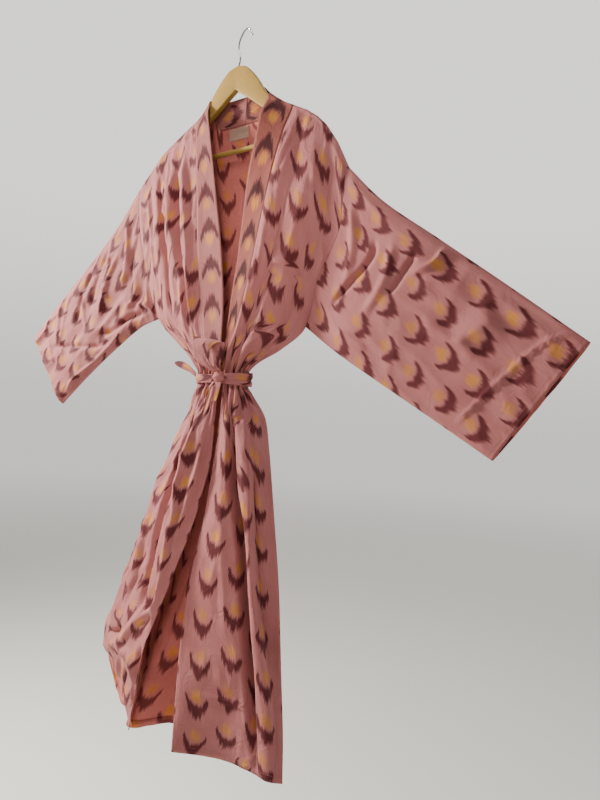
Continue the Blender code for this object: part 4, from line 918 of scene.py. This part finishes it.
CREASES["front_right"] = [
    (6, 12, 9, 164, -212, 140, -281, 133, -340, 127, -413, 117, -499, 90, -636, 76, -690),
    (-5, 9, 9, 185, -229, 159, -294, 148, -358, 145, -424, 136, -502, 103, -647),
    (-5, 9, 9, 145, -524, 102, -666),
    (-4, 8, 8, 223, -348, 239, -508),
    (4, 10, 10, 214, -299, 224, -380, 242, -511),
    (4.5, 4, 5, 116, -506, 166, -508, 183, -512),
    (5, 4, 6, 185, -500, 200, -532, 216, -551),
    (6, 10, 8, 196, -625, 150, -642, 100, -682),
    (-34, 12, 12, 92, -785, 104, -838, 109, -876, 119, -933, 135, -984, 147, -1042, 155, -1105, 168, -1201,
     184, -1315, 200, -1408),
    (22, 16, 6, 118, -785, 133, -851, 144, -914, 154, -984, 163, -1054, 173, -1118, 205, -1271, 226, -1379,
     232, -1411),
    (-17, 7, 15, 143, -860, 156, -927, 167, -997, 177, -1067, 188, -1131, 214, -1265),
    (3.8, 4, 5, 43, -1296, 98, -1303, 141, -1303, 196, -1303),
    (3, 12, 12, 91, -895, 104, -984, 117, -1093, 127, -1194),
    (4, 4, 5, 72, -978, 100, -984, 128, -976),
]
CRUMPLE.update(front_left=2.6, front_right=1.9)
fronts = {}
for kind, columns, seed in (("front_left", 92, 23), ("front_right", 84, 37)):
    fronts[kind] = panel(kind, columns, seed)
    front = panel_piece(kind, kind, fronts[kind])

# Sleeves: each is one straight length folded along its top, sewn to the armhole and closed below.
# The cuffs are open, with a 12 mm hem; the motifs run out along the arm.
SLEEVES = {
    "sleeve_left": [
        # along  top x, z    bottom x, z  middle y, half the hollow (mm)
        (0.00, -265, -287, -178, -592, -2, 10),
        (0.20, -329, -361, -227, -606, -2, 13),
        (0.45, -424, -442, -314, -654, 0, 14),
        (0.75, -541, -534, -417, -724, 1, 12),
        (1.00, -638, -616, -501, -788, 2, 9),
    ],
    "sleeve_right": [
        (0.00, 278, -339, 209, -624, -2, 10),
        (0.20, 350, -410, 272, -668, -4, 16),
        (0.45, 455, -488, 362, -722, -4, 17),
        (0.75, 582, -582, 468, -784, -3, 14),
        (1.00, 690, -664, 562, -840, -2, 10),
    ],
}
ARMHOLES = {"sleeve_left": (SIDE_LEFT, "front_left", 0.0), "sleeve_right": (SIDE_RIGHT, "front_right", 1.0)}
SLEEVE_CREASES = {
    "sleeve_left": [
        (-10, 12, 12, -212, -572, -279, -594, -323, -616, -367, -623),
        (8, 10, 10, -246, -561, -216, -559, -188, -577),
        (4, 8, 8, -243, -516, -255, -548, -278, -569),
        (4, 8, 8, -304, -633, -385, -687, -457, -733, -492, -772),
        (-5, 9, 9, -560, -648, -459, -648, -385, -651, -323, -642),
        (3, 8, 8, -513, -545, -560, -575, -623, -606),
        (7, 12, 10, -314, -428, -345, -508, -372, -588), (-6, 10, 12, -405, -453, -440, -535, -460, -608),
        (5, 10, 10, -502, -506, -528, -580, -526, -643), (6, 10, 12, -297, -364, -285, -454, -294, -523),
        (-5, 10, 10, -355, -410, -390, -500, -410, -570),
        (4, 3, 8, -330, -400, -352, -440, -356, -500, -340, -560),
        (4, 8, 3, -420, -470, -432, -520, -424, -580, -402, -620),
        (3.5, 3, 8, -470, -500, -500, -560, -512, -630, -500, -690),
        (-4, 7, 7, -250, -400, -270, -450, -262, -510), (4, 3, 9, -575, -590, -560, -640, -530, -700),
    ],
    "sleeve_right": [
        (-9, 10, 10, 347, -477, 349, -501, 334, -527, 296, -563, 265, -596),
        (-8, 8, 8, 429, -512, 405, -547, 382, -583),
        (8, 6, 10, 477, -504, 456, -534, 416, -548),
        (5, 4, 5, 670, -649, 636, -661, 578, -713, 499, -794),
        (4, 9, 9, 279, -642, 295, -643, 348, -671),
        (8, 40, 40, 500, -666, 566, -625),
        (6, 12, 14, 293, -403, 304, -477, 297, -548), (5, 14, 12, 387, -486, 375, -553, 332, -620),
        (5, 12, 12, 441, -625, 492, -658, 524, -666),
    ],
}
SLEEVE_BACK_CREASES = {
    "sleeve_left": [
        (6, 14, 14, -250, -360, -290, -480, -330, -610), (-5, 12, 12, -330, -420, -380, -520, -420, -640),
        (4, 10, 12, -430, -470, -480, -600, -500, -740), (4, 10, 10, -220, -500, -300, -560, -400, -600),
    ],
    "sleeve_right": [
        (6, 14, 14, 270, -400, 300, -520, 330, -640), (-5, 12, 12, 360, -460, 370, -580, 400, -700),
        (4, 10, 12, 450, -520, 470, -640, 520, -760), (3, 5, 5, 670, -649, 636, -661, 578, -713, 499, -794),
    ],
}
SLEEVE_CRUMPLE = {"sleeve_left": 2.9, "sleeve_right": 1.7}  # height of the small relief (mm)
PATTERN_FROM.update(sleeve_left=(0.0983, 0.0), sleeve_right=(0.0983, 0.0))
SLEEVE_PATTERN = 0.935  # so that the rows stand 78 mm apart along the arm


def sleeve(name, along, down, seed):
    """Rings of the sleeve: down the front from the top edge, and up the back again."""
    table = np.array(SLEEVES[name])
    run = smooth(along, table[:, 0], table[:, 1:] * MM)[:, None, :]
    side, front, back = ARMHOLES[name]
    heights = SHOULDER_Z + (UNDERARM_Z - SHOULDER_Z) * down
    length = np.hypot(run[-1, 0, 0] - run[0, 0, 0], run[-1, 0, 1] - run[0, 0, 1])
    faces, places = [], []
    for face, kind, place in (("front", front, 1.0), ("back", "back", back)):
        hole = body_points(kind, np.array([place]), heights)[:, 0]
        spread = down[None, :, None]
        edge = run[..., 0:2] * (1 - spread) + run[..., 2:4] * spread
        start = hole[:, [0, 2]] - edge[0]
        xz = edge + start[None] * ((1 - along) ** 2)[:, None, None]
        belly = np.sqrt(np.clip(4 * down * (1 - down), 0, 1)) ** 0.8
        sign = -1 if face == "front" else 1
        flat = run[..., 4] + sign * run[..., 5] * belly[None]
        share = ease(along / 0.3)[:, None]
        y = hole[None, :, 1] * (1 - share) + flat * share
        width = np.hypot(run[..., 0] - run[..., 2], run[..., 1] - run[..., 3])
        u = width * down[None] * np.ones_like(along)[:, None]
        v = along[:, None] * length * np.ones_like(down)[None]
        folded = 1 - 2 * np.abs(crumple(u, v, (0.030, 0.060), seed + 1))
        relief = SLEEVE_CRUMPLE[name] * MM * (crumple(u, v, (0.050, 0.110), seed) + 1.1 * folded)
        spots = np.stack([xz[..., 0], 0 * u, xz[..., 1]], -1)
        if face == "front":
            relief = relief + creases(spots, SLEEVE_CREASES[name])
        else:
            relief = relief + creases(spots, SLEEVE_BACK_CREASES[name])
            u = 2 * width - u
        relief *= ease(np.minimum(down, 1 - down) / 0.06)[None] * ease(along / 0.05)[:, None]
        y = y + sign * relief
        faces.append(np.stack([xz[..., 0], y, xz[..., 1]], -1))
        places.append((u, v))
    front_face, back_face = faces
    ring = np.concatenate([front_face, back_face[:, -2:0:-1]], axis=1)
    ring[:, 0] = 0.5 * (front_face[:, 0] + back_face[:, 0])
    ring[:, len(down) - 1] = 0.5 * (front_face[:, -1] + back_face[:, -1])
    u = np.concatenate([places[0][0], places[1][0][:, -2::-1]], axis=1)
    v = np.concatenate([places[0][1], places[1][1][:, -2::-1]], axis=1)
    return ring, u, v


SLEEVE_COTTON = ikat_cotton("sleeve_cotton_face", SLEEVE_COLUMN, wrinkle=0.35)
# The sleeves' reverse side: brighter colours and glow, painted light for the glow through the thin cloth
SLEEVE_REVERSE = ikat_cotton("sleeve_cotton_reverse_painted_glow", SLEEVE_COLUMN, **REVERSE_DYES_AND_PAINTED_GLOW)
SLEEVE_RINGS, SLEEVE_DEEP = 118, 66
sleeve_along = np.linspace(0, 1, SLEEVE_RINGS)
# Closer together at the top and bottom edges, where the cloth turns
sleeve_down = 0.5 - 0.5 * np.cos(math.pi * np.linspace(0, 1, SLEEVE_DEEP) ** 0.97)
sleeve_down = 0.7 * sleeve_down + 0.3 * np.linspace(0, 1, SLEEVE_DEEP)
sleeves = {}
for name, seed in (("sleeve_left", 51), ("sleeve_right", 67)):
    ring, u, v = sleeve(name, sleeve_along, sleeve_down, seed)
    du, dv = PATTERN_FROM[name]
    sleeves[name] = (ring, u, v)
    rows = int((v[-1, 0] - v[:, 0] < HEM_DEPTH).sum())
    centre = ring.mean(axis=1, keepdims=True)
    toward = np.stack([0 * ring[..., 0], np.sign(centre[..., 1] - ring[..., 1]), 0 * ring[..., 0]], -1)
    room = ease(np.abs(ring[-rows:, :, 1:2] - centre[-rows:, :, 1:2]) / (3 * MM))
    inside = ring[-rows:] + toward[-rows:] * HEM_GAP * room
    u, v = u + du, SLEEVE_PATTERN * v + dv
    made = cloth_piece(name + "_cloth", name, [(ring, u, v), (inside, u[-rows:], v[-rows:])],
                       [SLEEVE_COTTON, SLEEVE_REVERSE], closed=True, turned=name == "sleeve_left")

# Neck band: two strips folded double and joined at the middle of the back neck. Each runs over the
# shoulder and down its front's neck edge to under the sash, and its motifs point the other way up.
BAND_LEFT = np.array([
    (-210, -68, -1), (-225, -66, -10), (-260, -48, -27), (-350, -12, -39), (-490, 30, -49),
    (-610, 55, -57), (-660, 61, -63), (-700, 58, -61), (-711, 55, -56), (-725, 55, -56),
])
BAND_RIGHT = np.array([
    (-210, 85, -1), (-225, 87, -10), (-260, 89, -31), (-350, 77, -39), (-490, 73, -47),
    (-610, 68, -57), (-660, 67.5, -60), (-700, 63, -59.5), (-711, 59, -55.4), (-725, 59, -55.4),
])
BAND_THICK, BAND_WIDTH, BAND_COLUMNS, NECK_STEPS = 1.1 * MM, 48 * MM, 13, 39
PATTERN_FROM.update(band_left=(0.03125, 0.005), band_right=(0.03125, 0.052))
BAND_PATTERN = (1.22, -0.92)  # across and along; the motifs point the other way up
# The bands' colours are the cotton's dyes darkened as painted shade, the right band more than the left, as it
# faces away from the window; the right is also warmer, a painted glow of light through it
BAND_SHADED_DYES = {
    "band_left": [(0.320, 0.112, 0.104), (0.270, 0.084, 0.078), (0.076, 0.014, 0.016)],
    "band_right": [(0.265, 0.079, 0.062), (0.215, 0.060, 0.046), (0.050, 0.009, 0.010)],
}
band_rows = ROWS[ROWS >= -725.5 * MM]


def band(side, columns, seed):
    """One strip, from the middle of the back neck over the shoulder and down to the sash."""
    kind, table = ("front_left", BAND_LEFT) if side < 0 else ("front_right", BAND_RIGHT)
    seam = fronts[kind][0][:len(band_rows), 0]
    edge = smooth(band_rows, table[:, 0] * MM, table[:, 1:] * MM)
    lift = (shoulder_z(edge[0, 0]) - seam[0, 2]) * (1 - ease((SHOULDER_Z - band_rows) / (200 * MM)))
    edge = np.column_stack([edge, seam[:, 2] + lift])
    edge[:, 1] = np.minimum(edge[:, 1], -over_hanger(shoulder_z(edge[:, 0]) - edge[:, 2]))
    end = seam[0, 0]
    neck_seam, neck_edge = [], []
    for share in np.arange(NECK_STEPS) / NECK_STEPS:
        x = NECK_MIDDLE + (end - NECK_MIDDLE) * share
        neck_seam.append((x, *neck_seam_line(x)))
        x = NECK_MIDDLE + (edge[0, 0] - NECK_MIDDLE) * share
        gone = abs(x - edge[0, 0])
        over = shoulder_z(x)
        off = CLOTH_OFF * ease(gone / (8 * MM)) + (NECK_Y - CLOTH_OFF) * ease(gone / (40 * MM))
        neck_edge.append((x, off, over + (NECK_TOP_Z - over) * ease((gone - 8 * MM) / (36 * MM))))
    seam = np.concatenate([neck_seam, seam])
    edge = np.concatenate([neck_edge, edge])
    share = np.linspace(0, 1, columns)[None, :, None]
    points = seam[:, None] * (1 - share) + edge[:, None] * share
    run = run_along(seam)
    u = (share[..., 0] - 0.5) * BAND_WIDTH + 0 * run[:, None]
    v = run[:, None] + 0 * share[..., 0]
    out = normals_of(points) * (1 if side < 0 else -1)
    relief = 0.5 * crumple(u, v, (0.020, 0.090), seed) + 0.35 * crumple(u, v, (0.012, 0.030), seed + 1)
    roll = 1.4 * np.sin(math.pi * share[..., 0])  # the doubled strip is soft and stands a little proud
    inside = ease(share[..., 0] / 0.12) * ease((1 - share[..., 0]) / 0.12 + 0.3)
    points = points + out * ((relief * inside + roll) * MM)[..., None]
    return points, u, v


bands = {}
for name, side, seed in (("band_left", -1, 71), ("band_right", 1, 83)):
    points, u, v = band(side, BAND_COLUMNS, seed)
    bands[name] = (points, u, v)
    du, dv = PATTERN_FROM[name]
    # Each band's cotton takes these darker colours, its painted shade
    cotton = ikat_cotton(name.replace("band", "band_shaded_cotton"), BODY_COLUMN, *BAND_SHADED_DYES[name])
    strip = cloth_piece(name + "_cloth", name,
                        [(points, BAND_PATTERN[0] * u + du, BAND_PATTERN[1] * v + dv)],
                        [cotton, cotton], turned=side > 0, wall=BAND_THICK)

# Sash: one long strip of the robe's cotton, folded double, wound once and tied in a bow on the right.
SASH_HEIGHT, SASH_WALL = 21 * MM, 1.3 * MM
STRIPS = {
    "sash_loop": [
        # x, y, z of its middle, its width (mm), and the way it lies across
        (63, -67.6, -712.5, 13, 1.0, 0.0, 0.0),
        (57, -71.5, -702, 26, 1.0, 0.0, 0.1),
        (52, -73, -684, 50, 1.0, 0.0, -0.05),
        (49, -76, -664, 66, 1.0, 0.0, -0.12),
        (48, -81, -655, 70, 1.0, 0.05, -0.16),
        (44, -87, -656, 62, 1.0, 0.05, -0.16),
        (36, -90, -668, 44, 1.0, 0.10, -0.22),
        (36, -89, -686, 36, 1.0, 0.15, -0.25),
        (46, -86, -702, 28, 1.0, 0.1, -0.1),
        (60, -77, -713, 15, 1.0, 0.0, 0.0),
    ],
    "sash_end_left": [
        (-19, -41.3, -718, 8, 0.25, -0.2, 1.0),
        (-33, -43, -708, 11, 0.35, -0.2, 1.0),
        (-52, -43, -700, 14, 0.30, 0.2, 1.0),
        (-68, -41, -696, 12, 0.20, 0.3, 1.0),
        (-82, -39, -693, 4, 0.10, 0.2, 1.0),
    ],
    "sash_tail_straight": [
        (68, -71.3, -734.4, 12, 1.0, 0.1, 0.0),
        (67.5, -74, -745, 14, 1.0, 0.2, 0.0),
        (67, -76, -757, 13, 1.0, 0.1, 0.0),
        (66.5, -77, -770, 11, 1.0, -0.1, 0.1),
    ],
    "sash_tail_twisted": [
        (56.5, -71.5, -733.6, 8, 1.0, -0.2, 0.3),
        (53, -76, -744, 10, 0.9, -0.5, 0.2),
        (48, -78, -756, 12, 0.5, -0.9, 0.1),
        (45, -79, -768, 11, 0.8, -0.5, 0.2),
        (43, -80, -780, 5, 1.0, 0.0, 0.3),
    ],
}
KNOT = np.array([64.5, -67.4, -724.0]) * MM
KNOT_WIDE, KNOT_DEEP, KNOT_HIGH = 12 * MM, 8.6 * MM, 11 * MM  # half sizes
KNOT_ROWS, KNOT_COLUMNS = 40, 64


def wrap(places, shares):
    """The wound part: one ring, creased along its length and parted into two strands on the right."""
    turn = np.linspace(0, 2 * math.pi, places, endpoint=False)[None, :]
    share = shares[:, None]
    right = ease(np.sin(turn))
    high = SASH_HEIGHT / 2 * (0.86 + 0.20 * right - 0.10 * np.cos(turn))
    crease = -2.6 * MM * right * np.exp(-((share + 0.1) / 0.22) ** 2)
    left = -1.8 * MM * ease(-np.sin(turn)) * np.exp(-((share + 0.55) / 0.25) ** 2)
    folds = 0.5 * MM * crumple(turn * WAIST_A + 0 * share, share * 0.01 + 0 * turn, (0.030, 0.003), 91)
    out = 3.4 * MM + crease + left + folds - 1.0 * MM * share**2
    x = WAIST_X + (WAIST_A + out) * np.sin(turn)
    y = WAIST_Y - (WAIST_B + out) * np.cos(turn)
    z = WAIST_Z + high * share + 1.5 * MM * right * share - 1.5 * MM * np.cos(turn)
    points = np.stack([x, y, z + 0 * x], -1)
    ends = np.linspace(0, 2 * math.pi, places + 1)[None, :]
    return points, 0.026 + 0.02 * share + 0 * ends, 0.05 * ends - 0.030 + 0 * share


ring, u, v = wrap(150, np.linspace(-1, 1, 22))
sash = cloth_piece("sash_wrap_cloth", "sash_wrap", [(ring, u, v)], [COTTON, COTTON], closed=True,
                   wall=SASH_WALL)


def sash_strip(name, along, across, seed):
    """A loop, an end or a tail of the sash, folded softly along its length."""
    table = np.array(STRIPS[name], float)
    row = smooth(np.linspace(0, 1, along), np.linspace(0, 1, len(table)), table)
    way = row[:, 4:7] / np.linalg.norm(row[:, 4:7], axis=1, keepdims=True)
    share = np.linspace(-0.5, 0.5, across)
    points = (row[:, None, :3] + way[:, None] * row[:, 3][:, None, None] * share[None, :, None]) * MM
    run = run_along(row[:, :3]) * MM
    u = row[:, 3][:, None] * MM * share[None]
    v = run[:, None] + 0 * u
    soft = 2.4 if name == "sash_loop" else 0.8
    folds = soft * MM * (0.5 - np.abs(crumple(u, v, (0.011, 0.045), seed)))
    points = points + normals_of(points) * folds[..., None] * np.minimum(1, run[:, None, None] / (9 * MM))
    return points, u, v


for seed, name in enumerate(STRIPS):
    points, u, v = sash_strip(name, 60, 18, 101 + seed)
    du, dv = (0.004, 0.020) if name == "sash_loop" else (0.026, 0.0)
    part = cloth_piece(name + "_cloth", name, [(points, u + du, v + dv)], [COTTON, COTTON], wall=SASH_WALL)


def knot_points(rows, columns):
    """The knot: a small lump of cloth wound over itself."""
    points = []
    for lift in np.linspace(0, math.pi, rows):
        for turn in 2 * math.pi * np.arange(columns) / columns:
            winding = 0.10 * math.cos(5 * lift + 1.4 * math.sin(turn))
            ridge = 1 + winding + 0.03 * math.cos(3 * turn + 4 * lift)
            points.append((
                KNOT[0] + KNOT_WIDE * ridge * math.sin(lift) * math.cos(turn),
                KNOT[1] + KNOT_DEEP * ridge * math.sin(lift) * math.sin(turn),
                KNOT[2] - KNOT_HIGH * math.cos(lift),
            ))
    return np.array(points).reshape(rows, columns, 3)


knot_grid = knot_points(KNOT_ROWS, KNOT_COLUMNS)
for pole in (0, -1):
    knot_grid[pole] = knot_grid[pole].mean(axis=0)
ends = np.arange(KNOT_COLUMNS + 1)[None, :] * MM + 0 * np.arange(KNOT_ROWS)[:, None]
downs = np.arange(KNOT_ROWS)[:, None] * 0.9 * MM + 0 * ends
knot = cloth_piece("sash_knot_cloth", "sash_knot", [(knot_grid, ends, downs)], [COTTON, COTTON], closed=True,
                   wall=0.4 * MM)

# Neck label: a small woven tape, sewn flat under the back neck seam; it carries no words.
LABEL_WIDTH, LABEL_HEIGHT, LABEL_MIDDLE, LABEL_TOP = 50 * MM, 24 * MM, 3 * MM, -200 * MM
LABEL_COLUMNS, LABEL_ROWS, LABEL_OFF = 30, 16, 1.0 * MM


def label_tape():
    made, tree, shader = new_material("label_tape")
    cloth = put(tree, "ShaderNodeUVMap", uv_map="cloth").outputs[0]
    weave = put(tree, "ShaderNodeGroup", node_tree=WEAVE, feeds={"Cloth": cloth, "Threads per m": 1700.0})
    tone = put(tree, "ShaderNodeTexNoise", noise_dimensions="2D", feeds={"Vector": cloth, "Scale": 90.0})
    colour = mix_colour(tree, tone.outputs[0], (0.35, 0.205, 0.150, 1), (0.45, 0.285, 0.210, 1))
    tree.links.new(colour, shader.inputs["Base Color"])
    tree.links.new(calc(tree, "MULTIPLY_ADD", tone.outputs[0], 0.2, 0.5), shader.inputs["Roughness"])
    bump = put(tree, "ShaderNodeBump",
               feeds={"Height": weave.outputs[0], "Distance": 0.0002, "Strength": 0.5})
    tree.links.new(bump.outputs[0], shader.inputs["Normal"])
    return made


def label(columns, rows):
    """The tape as it lies on the inside of the back."""
    x = np.linspace(LABEL_MIDDLE - LABEL_WIDTH / 2, LABEL_MIDDLE + LABEL_WIDTH / 2, columns)
    z = np.linspace(LABEL_TOP, LABEL_TOP - LABEL_HEIGHT, rows)
    near = back_points[:40, 40:100].reshape(-1, 3)
    grid = []
    for height in z:
        line = []
        for place in x:
            close = np.argsort((near[:, 0] - place) ** 2 + (near[:, 2] - height) ** 2)[:6]
            line.append((place, near[close, 1].mean() - LABEL_OFF, height))
        grid.append(line)
    points = np.array(grid)
    u = (x - x[0])[None, :] + 0 * z[:, None]
    return points, u, (z[0] - z)[:, None] + 0 * u


tape_points, u, v = label(LABEL_COLUMNS, LABEL_ROWS)
tape = cloth_piece("label_tape_piece", "neck_label", [(tape_points, u, v)], [label_tape()] * 2,
                   wall=0.5 * MM)

# Stitching: one pink sewing thread, lockstitched along the hems, the cuffs, the band and the label.
# Each stitch is a short length of thread that lies on the cloth between two needle holes.
STITCH, STITCH_STEP, THREAD = 2.6 * MM, 3.6 * MM, 0.24 * MM
# How far in from the hem and from the front's edge they run, and where the edge leaves the sash
HEM_STITCH_IN, EDGE_STITCH_IN, SASH_COVERS_TO = 11 * MM, 8 * MM, -750 * MM


def sewing_thread():
    made, tree, shader = new_material("sewing_thread")
    where = put(tree, "ShaderNodeTexCoord").outputs["Object"]
    twist = put(tree, "ShaderNodeTexNoise", feeds={"Vector": where, "Scale": 700.0, "Detail": 2.0})
    colour = mix_colour(tree, twist.outputs[0], (0.36, 0.10, 0.10, 1), (0.52, 0.20, 0.19, 1))
    tree.links.new(colour, shader.inputs["Base Color"])
    tree.links.new(calc(tree, "MULTIPLY_ADD", twist.outputs[0], 0.2, 0.4), shader.inputs["Roughness"])
    return made


def line_at(points, run, depth):
    """The point of each column where its run, which grows down the rows, reaches this depth."""
    return np.array([[np.interp(depth, run[:, c], points[:, c, k]) for k in range(3)]
                     for c in range(points.shape[1])])


def sew(name, line, out, off):
    """A row of stitches along a line, this far off it."""
    line = line + out * off
    run = run_along(line)
    vertices, faces = [], []
    for start in np.arange(0, run[-1] - STITCH, STITCH_STEP):
        ends, up = [], [np.interp(start, run, out[:, k]) for k in range(3)]
        for at in (start, start + STITCH):
            ends.append(np.array([np.interp(at, run, line[:, k]) for k in range(3)]))
        way = (ends[1] - ends[0]) / np.linalg.norm(ends[1] - ends[0])
        side = np.cross(way, up)
        side /= np.linalg.norm(side)
        up = np.cross(side, way)
        base = len(vertices)
        vertices += [ends[0] - 0.1 * MM * way, ends[1] + 0.1 * MM * way]
        for end, inward in ((ends[0], way), (ends[1], -way)):
            for turn in 2 * math.pi * np.arange(5) / 5:
                rim = THREAD * (math.cos(turn) * side + math.sin(turn) * up)
                vertices.append(end + 0.3 * MM * inward + rim)
        for i in range(5):
            j = (i + 1) % 5
            faces += [(base, base + 2 + j, base + 2 + i), (base + 1, base + 7 + i, base + 7 + j),
                      (base + 2 + i, base + 2 + j, base + 7 + j, base + 7 + i)]
    piece(name, vertices, faces, None, [SEWING_THREAD])


SEWING_THREAD = sewing_thread()
ON_CLOTH = WALL / 2 + 0.1 * MM
fronts["back"] = (back_points, back_u, back_v, back_out)
for kind, (points, u, v, out) in fronts.items():
    up_from_hem = (v[-1:] - v)[::-1]
    sew(kind + "_hem_stitches", line_at(points[::-1], up_from_hem, HEM_STITCH_IN),
        line_at(out[::-1], up_from_hem, HEM_STITCH_IN), ON_CLOTH)
    if kind != "back":
        below = ROWS < SASH_COVERS_TO
        in_from_edge = (u - u[:, :1]).T[:, below]
        lines = [line_at(grid.transpose(1, 0, 2)[:, below], in_from_edge, EDGE_STITCH_IN)
                 for grid in (points, out)]
        sew(kind + "_edge_stitches", *lines, ON_CLOTH)
for name, (ring, u, v) in sleeves.items():
    out = normals_of(ring, closed=True)
    away = ring - ring.mean(axis=1, keepdims=True)
    out *= np.sign((out[..., 1] * away[..., 1]).sum())
    up_from_cuff = (v[-1:] - v)[::-1, :ring.shape[1]]
    lines = [line_at(grid[::-1], up_from_cuff, HEM_STITCH_IN) for grid in (ring, out)]
    sew(name + "_cuff_stitches", *[np.concatenate([line, line[:1]]) for line in lines], ON_CLOTH)
for name, (points, u, v) in bands.items():
    out = normals_of(points) * (1 if name == "band_left" else -1)
    sew(name + "_stitches", points[:, 1], out[:, 1], BAND_THICK / 2 + 0.1 * MM)
# One row or column in from the tape's edges, all the way round
tape_inner = tape_points[1:-1, 1:-1]
around = np.concatenate([tape_inner[0], tape_inner[1:, -1], tape_inner[-1, -2::-1], tape_inner[-2::-1, 0]])
sew("label_stitches", around, np.tile((0.0, -1.0, 0.0), (len(around), 1)), 0.35 * MM)

# Studio: a pale floor under the hanging robe and a window's light from the left,
# with two weak spots that open the shadows inside the neck and the slit.
FLOOR_Z = -1.95
ROOM_TONE = (0.93, 0.92, 0.88, 1)
ROOM_LIGHT, ROOM_LOW = 1.45, 0.62  # its strength, and the share of it low down
EYE = Vector((0.827, -0.938, -0.808))
EYE_TURN, EYE_TILT, EYE_ROLL = math.radians(34.15), math.radians(2.5), math.atan(0.065)
LENS = 620 / 800 * 36


def pale_floor():
    made, tree, shader = new_material("pale_floor")
    where = put(tree, "ShaderNodeTexCoord").outputs["Object"]
    tone = put(tree, "ShaderNodeTexNoise", feeds={"Vector": where, "Scale": 0.8, "Detail": 5.0})
    colour = mix_colour(tree, tone.outputs[0], (0.74, 0.73, 0.69, 1), (0.80, 0.79, 0.75, 1))
    tree.links.new(colour, shader.inputs["Base Color"])
    tree.links.new(calc(tree, "MULTIPLY_ADD", tone.outputs[0], 0.1, 0.75), shader.inputs["Roughness"])
    # Far off, the floor as the camera sees it passes into the room's own tone, with no line between them
    away = put(tree, "ShaderNodeVectorMath", operation="LENGTH", feeds={0: where})
    far = put(tree, "ShaderNodeMapRange", interpolation_type="SMOOTHSTEP",
              feeds={0: away.outputs["Value"], 1: 2.0, 2: 13.0, 3: 0.0, 4: 1.0})
    seen = put(tree, "ShaderNodeLightPath").outputs["Is Camera Ray"]
    room = put(tree, "ShaderNodeEmission", feeds={"Color": ROOM_TONE, "Strength": ROOM_LIGHT * ROOM_LOW})
    blend = put(tree, "ShaderNodeMixShader", feeds={0: calc(tree, "MULTIPLY", far.outputs[0], seen),
                                                    1: shader.outputs[0], 2: room.outputs[0]})
    tree.links.new(blend.outputs[0], tree.nodes["Material Output"].inputs[0])
    return made


floor_mesh = bpy.data.meshes.new("floor")
floor_mesh.from_pydata([(-30, -30, FLOOR_Z), (30, -30, FLOOR_Z), (30, 30, FLOOR_Z), (-30, 30, FLOOR_Z)], [],
                       [(0, 1, 2, 3)])
floor_mesh.materials.append(pale_floor())
floor = bpy.data.objects.new("floor", floor_mesh)
bpy.context.scene.collection.objects.link(floor)

world = bpy.data.worlds.new("studio")
world.use_nodes = True
# The room is bright behind the robe, dimmer on the side that the robe faces and towards the floor
sky = world.node_tree
facing = put(sky, "ShaderNodeSeparateXYZ", feeds={0: put(sky, "ShaderNodeTexCoord").outputs["Generated"]})
behind = put(sky, "ShaderNodeMapRange", interpolation_type="SMOOTHSTEP",
             feeds={0: facing.outputs[1], 1: -0.25, 2: 0.45, 3: 0.18, 4: ROOM_LIGHT})
above = put(sky, "ShaderNodeMapRange", interpolation_type="SMOOTHSTEP",
            feeds={0: facing.outputs[2], 1: -0.02, 2: 0.35, 3: ROOM_LOW, 4: 1.0})
# The camera sees the same pale room all round
shown = calc(sky, "MULTIPLY", put(sky, "ShaderNodeLightPath").outputs["Is Camera Ray"], ROOM_LIGHT)
strength = calc(sky, "MULTIPLY", calc(sky, "MAXIMUM", behind.outputs[0], shown), above.outputs[0])
sky.links.new(strength, sky.nodes["Background"].inputs[1])
sky.nodes["Background"].inputs[0].default_value = ROOM_TONE
bpy.context.scene.world = world


def soft_light(name, place, target, size, power, colour, cone=None):
    """An area light of a size, or with a cone (degrees) a soft spot of that radius."""
    lamp = bpy.data.lights.new(name, "SPOT" if cone else "AREA")
    if cone:
        lamp.spot_size, lamp.spot_blend, lamp.shadow_soft_size = math.radians(cone), 0.9, size
    else:
        lamp.shape = "RECTANGLE"
        lamp.size, lamp.size_y = size
    lamp.energy = power
    lamp.color = colour
    obj = bpy.data.objects.new(name, lamp)
    obj.location = place
    obj.rotation_euler = (Vector(target) - Vector(place)).to_track_quat("-Z", "Y").to_euler()
    bpy.context.scene.collection.objects.link(obj)


soft_light("window", (-1.75, -0.80, 0.05), (-0.05, 0.0, -0.65), (0.35, 0.35), 128, (1.0, 0.95, 0.89))
soft_light("ceiling", (0.1, -0.9, 1.0), (0.05, 0.0, -0.4), (0.8, 0.5), 12, (1.0, 0.98, 0.95))
soft_light("room", (1.9, -2.2, -0.2), (0.1, 0.0, -0.8), (2.0, 2.0), 2.5, (0.96, 0.97, 1.0))
soft_light("neck_fill", (0.62, -1.05, -0.38), (0.01, 0.0, -0.47), 0.15, 32, (1.0, 0.90, 0.84), cone=28)
soft_light("skirt_fill", (0.50, -1.10, -1.05), (-0.10, -0.03, -1.08), 0.15, 16, (1.0, 0.93, 0.88), cone=34)

forward = Vector((-math.sin(EYE_TURN) * math.cos(EYE_TILT), math.cos(EYE_TURN) * math.cos(EYE_TILT),
                  math.sin(EYE_TILT)))
level = Vector((math.cos(EYE_TURN), math.sin(EYE_TURN), 0))
lower = -level.cross(forward) * math.cos(EYE_ROLL) + level * math.sin(EYE_ROLL)
frame_right = forward.cross(-lower).normalized()
stand = Matrix((frame_right, -lower, -forward)).transposed().to_4x4()
stand.translation = EYE
lens = bpy.data.cameras.new("camera")
lens.sensor_fit, lens.sensor_height, lens.sensor_width, lens.lens = "VERTICAL", 36, 27, LENS
lens.clip_start, lens.clip_end = 0.02, 100
camera = bpy.data.objects.new("camera", lens)
camera.matrix_world = stand
bpy.context.scene.collection.objects.link(camera)
bpy.context.scene.camera = camera
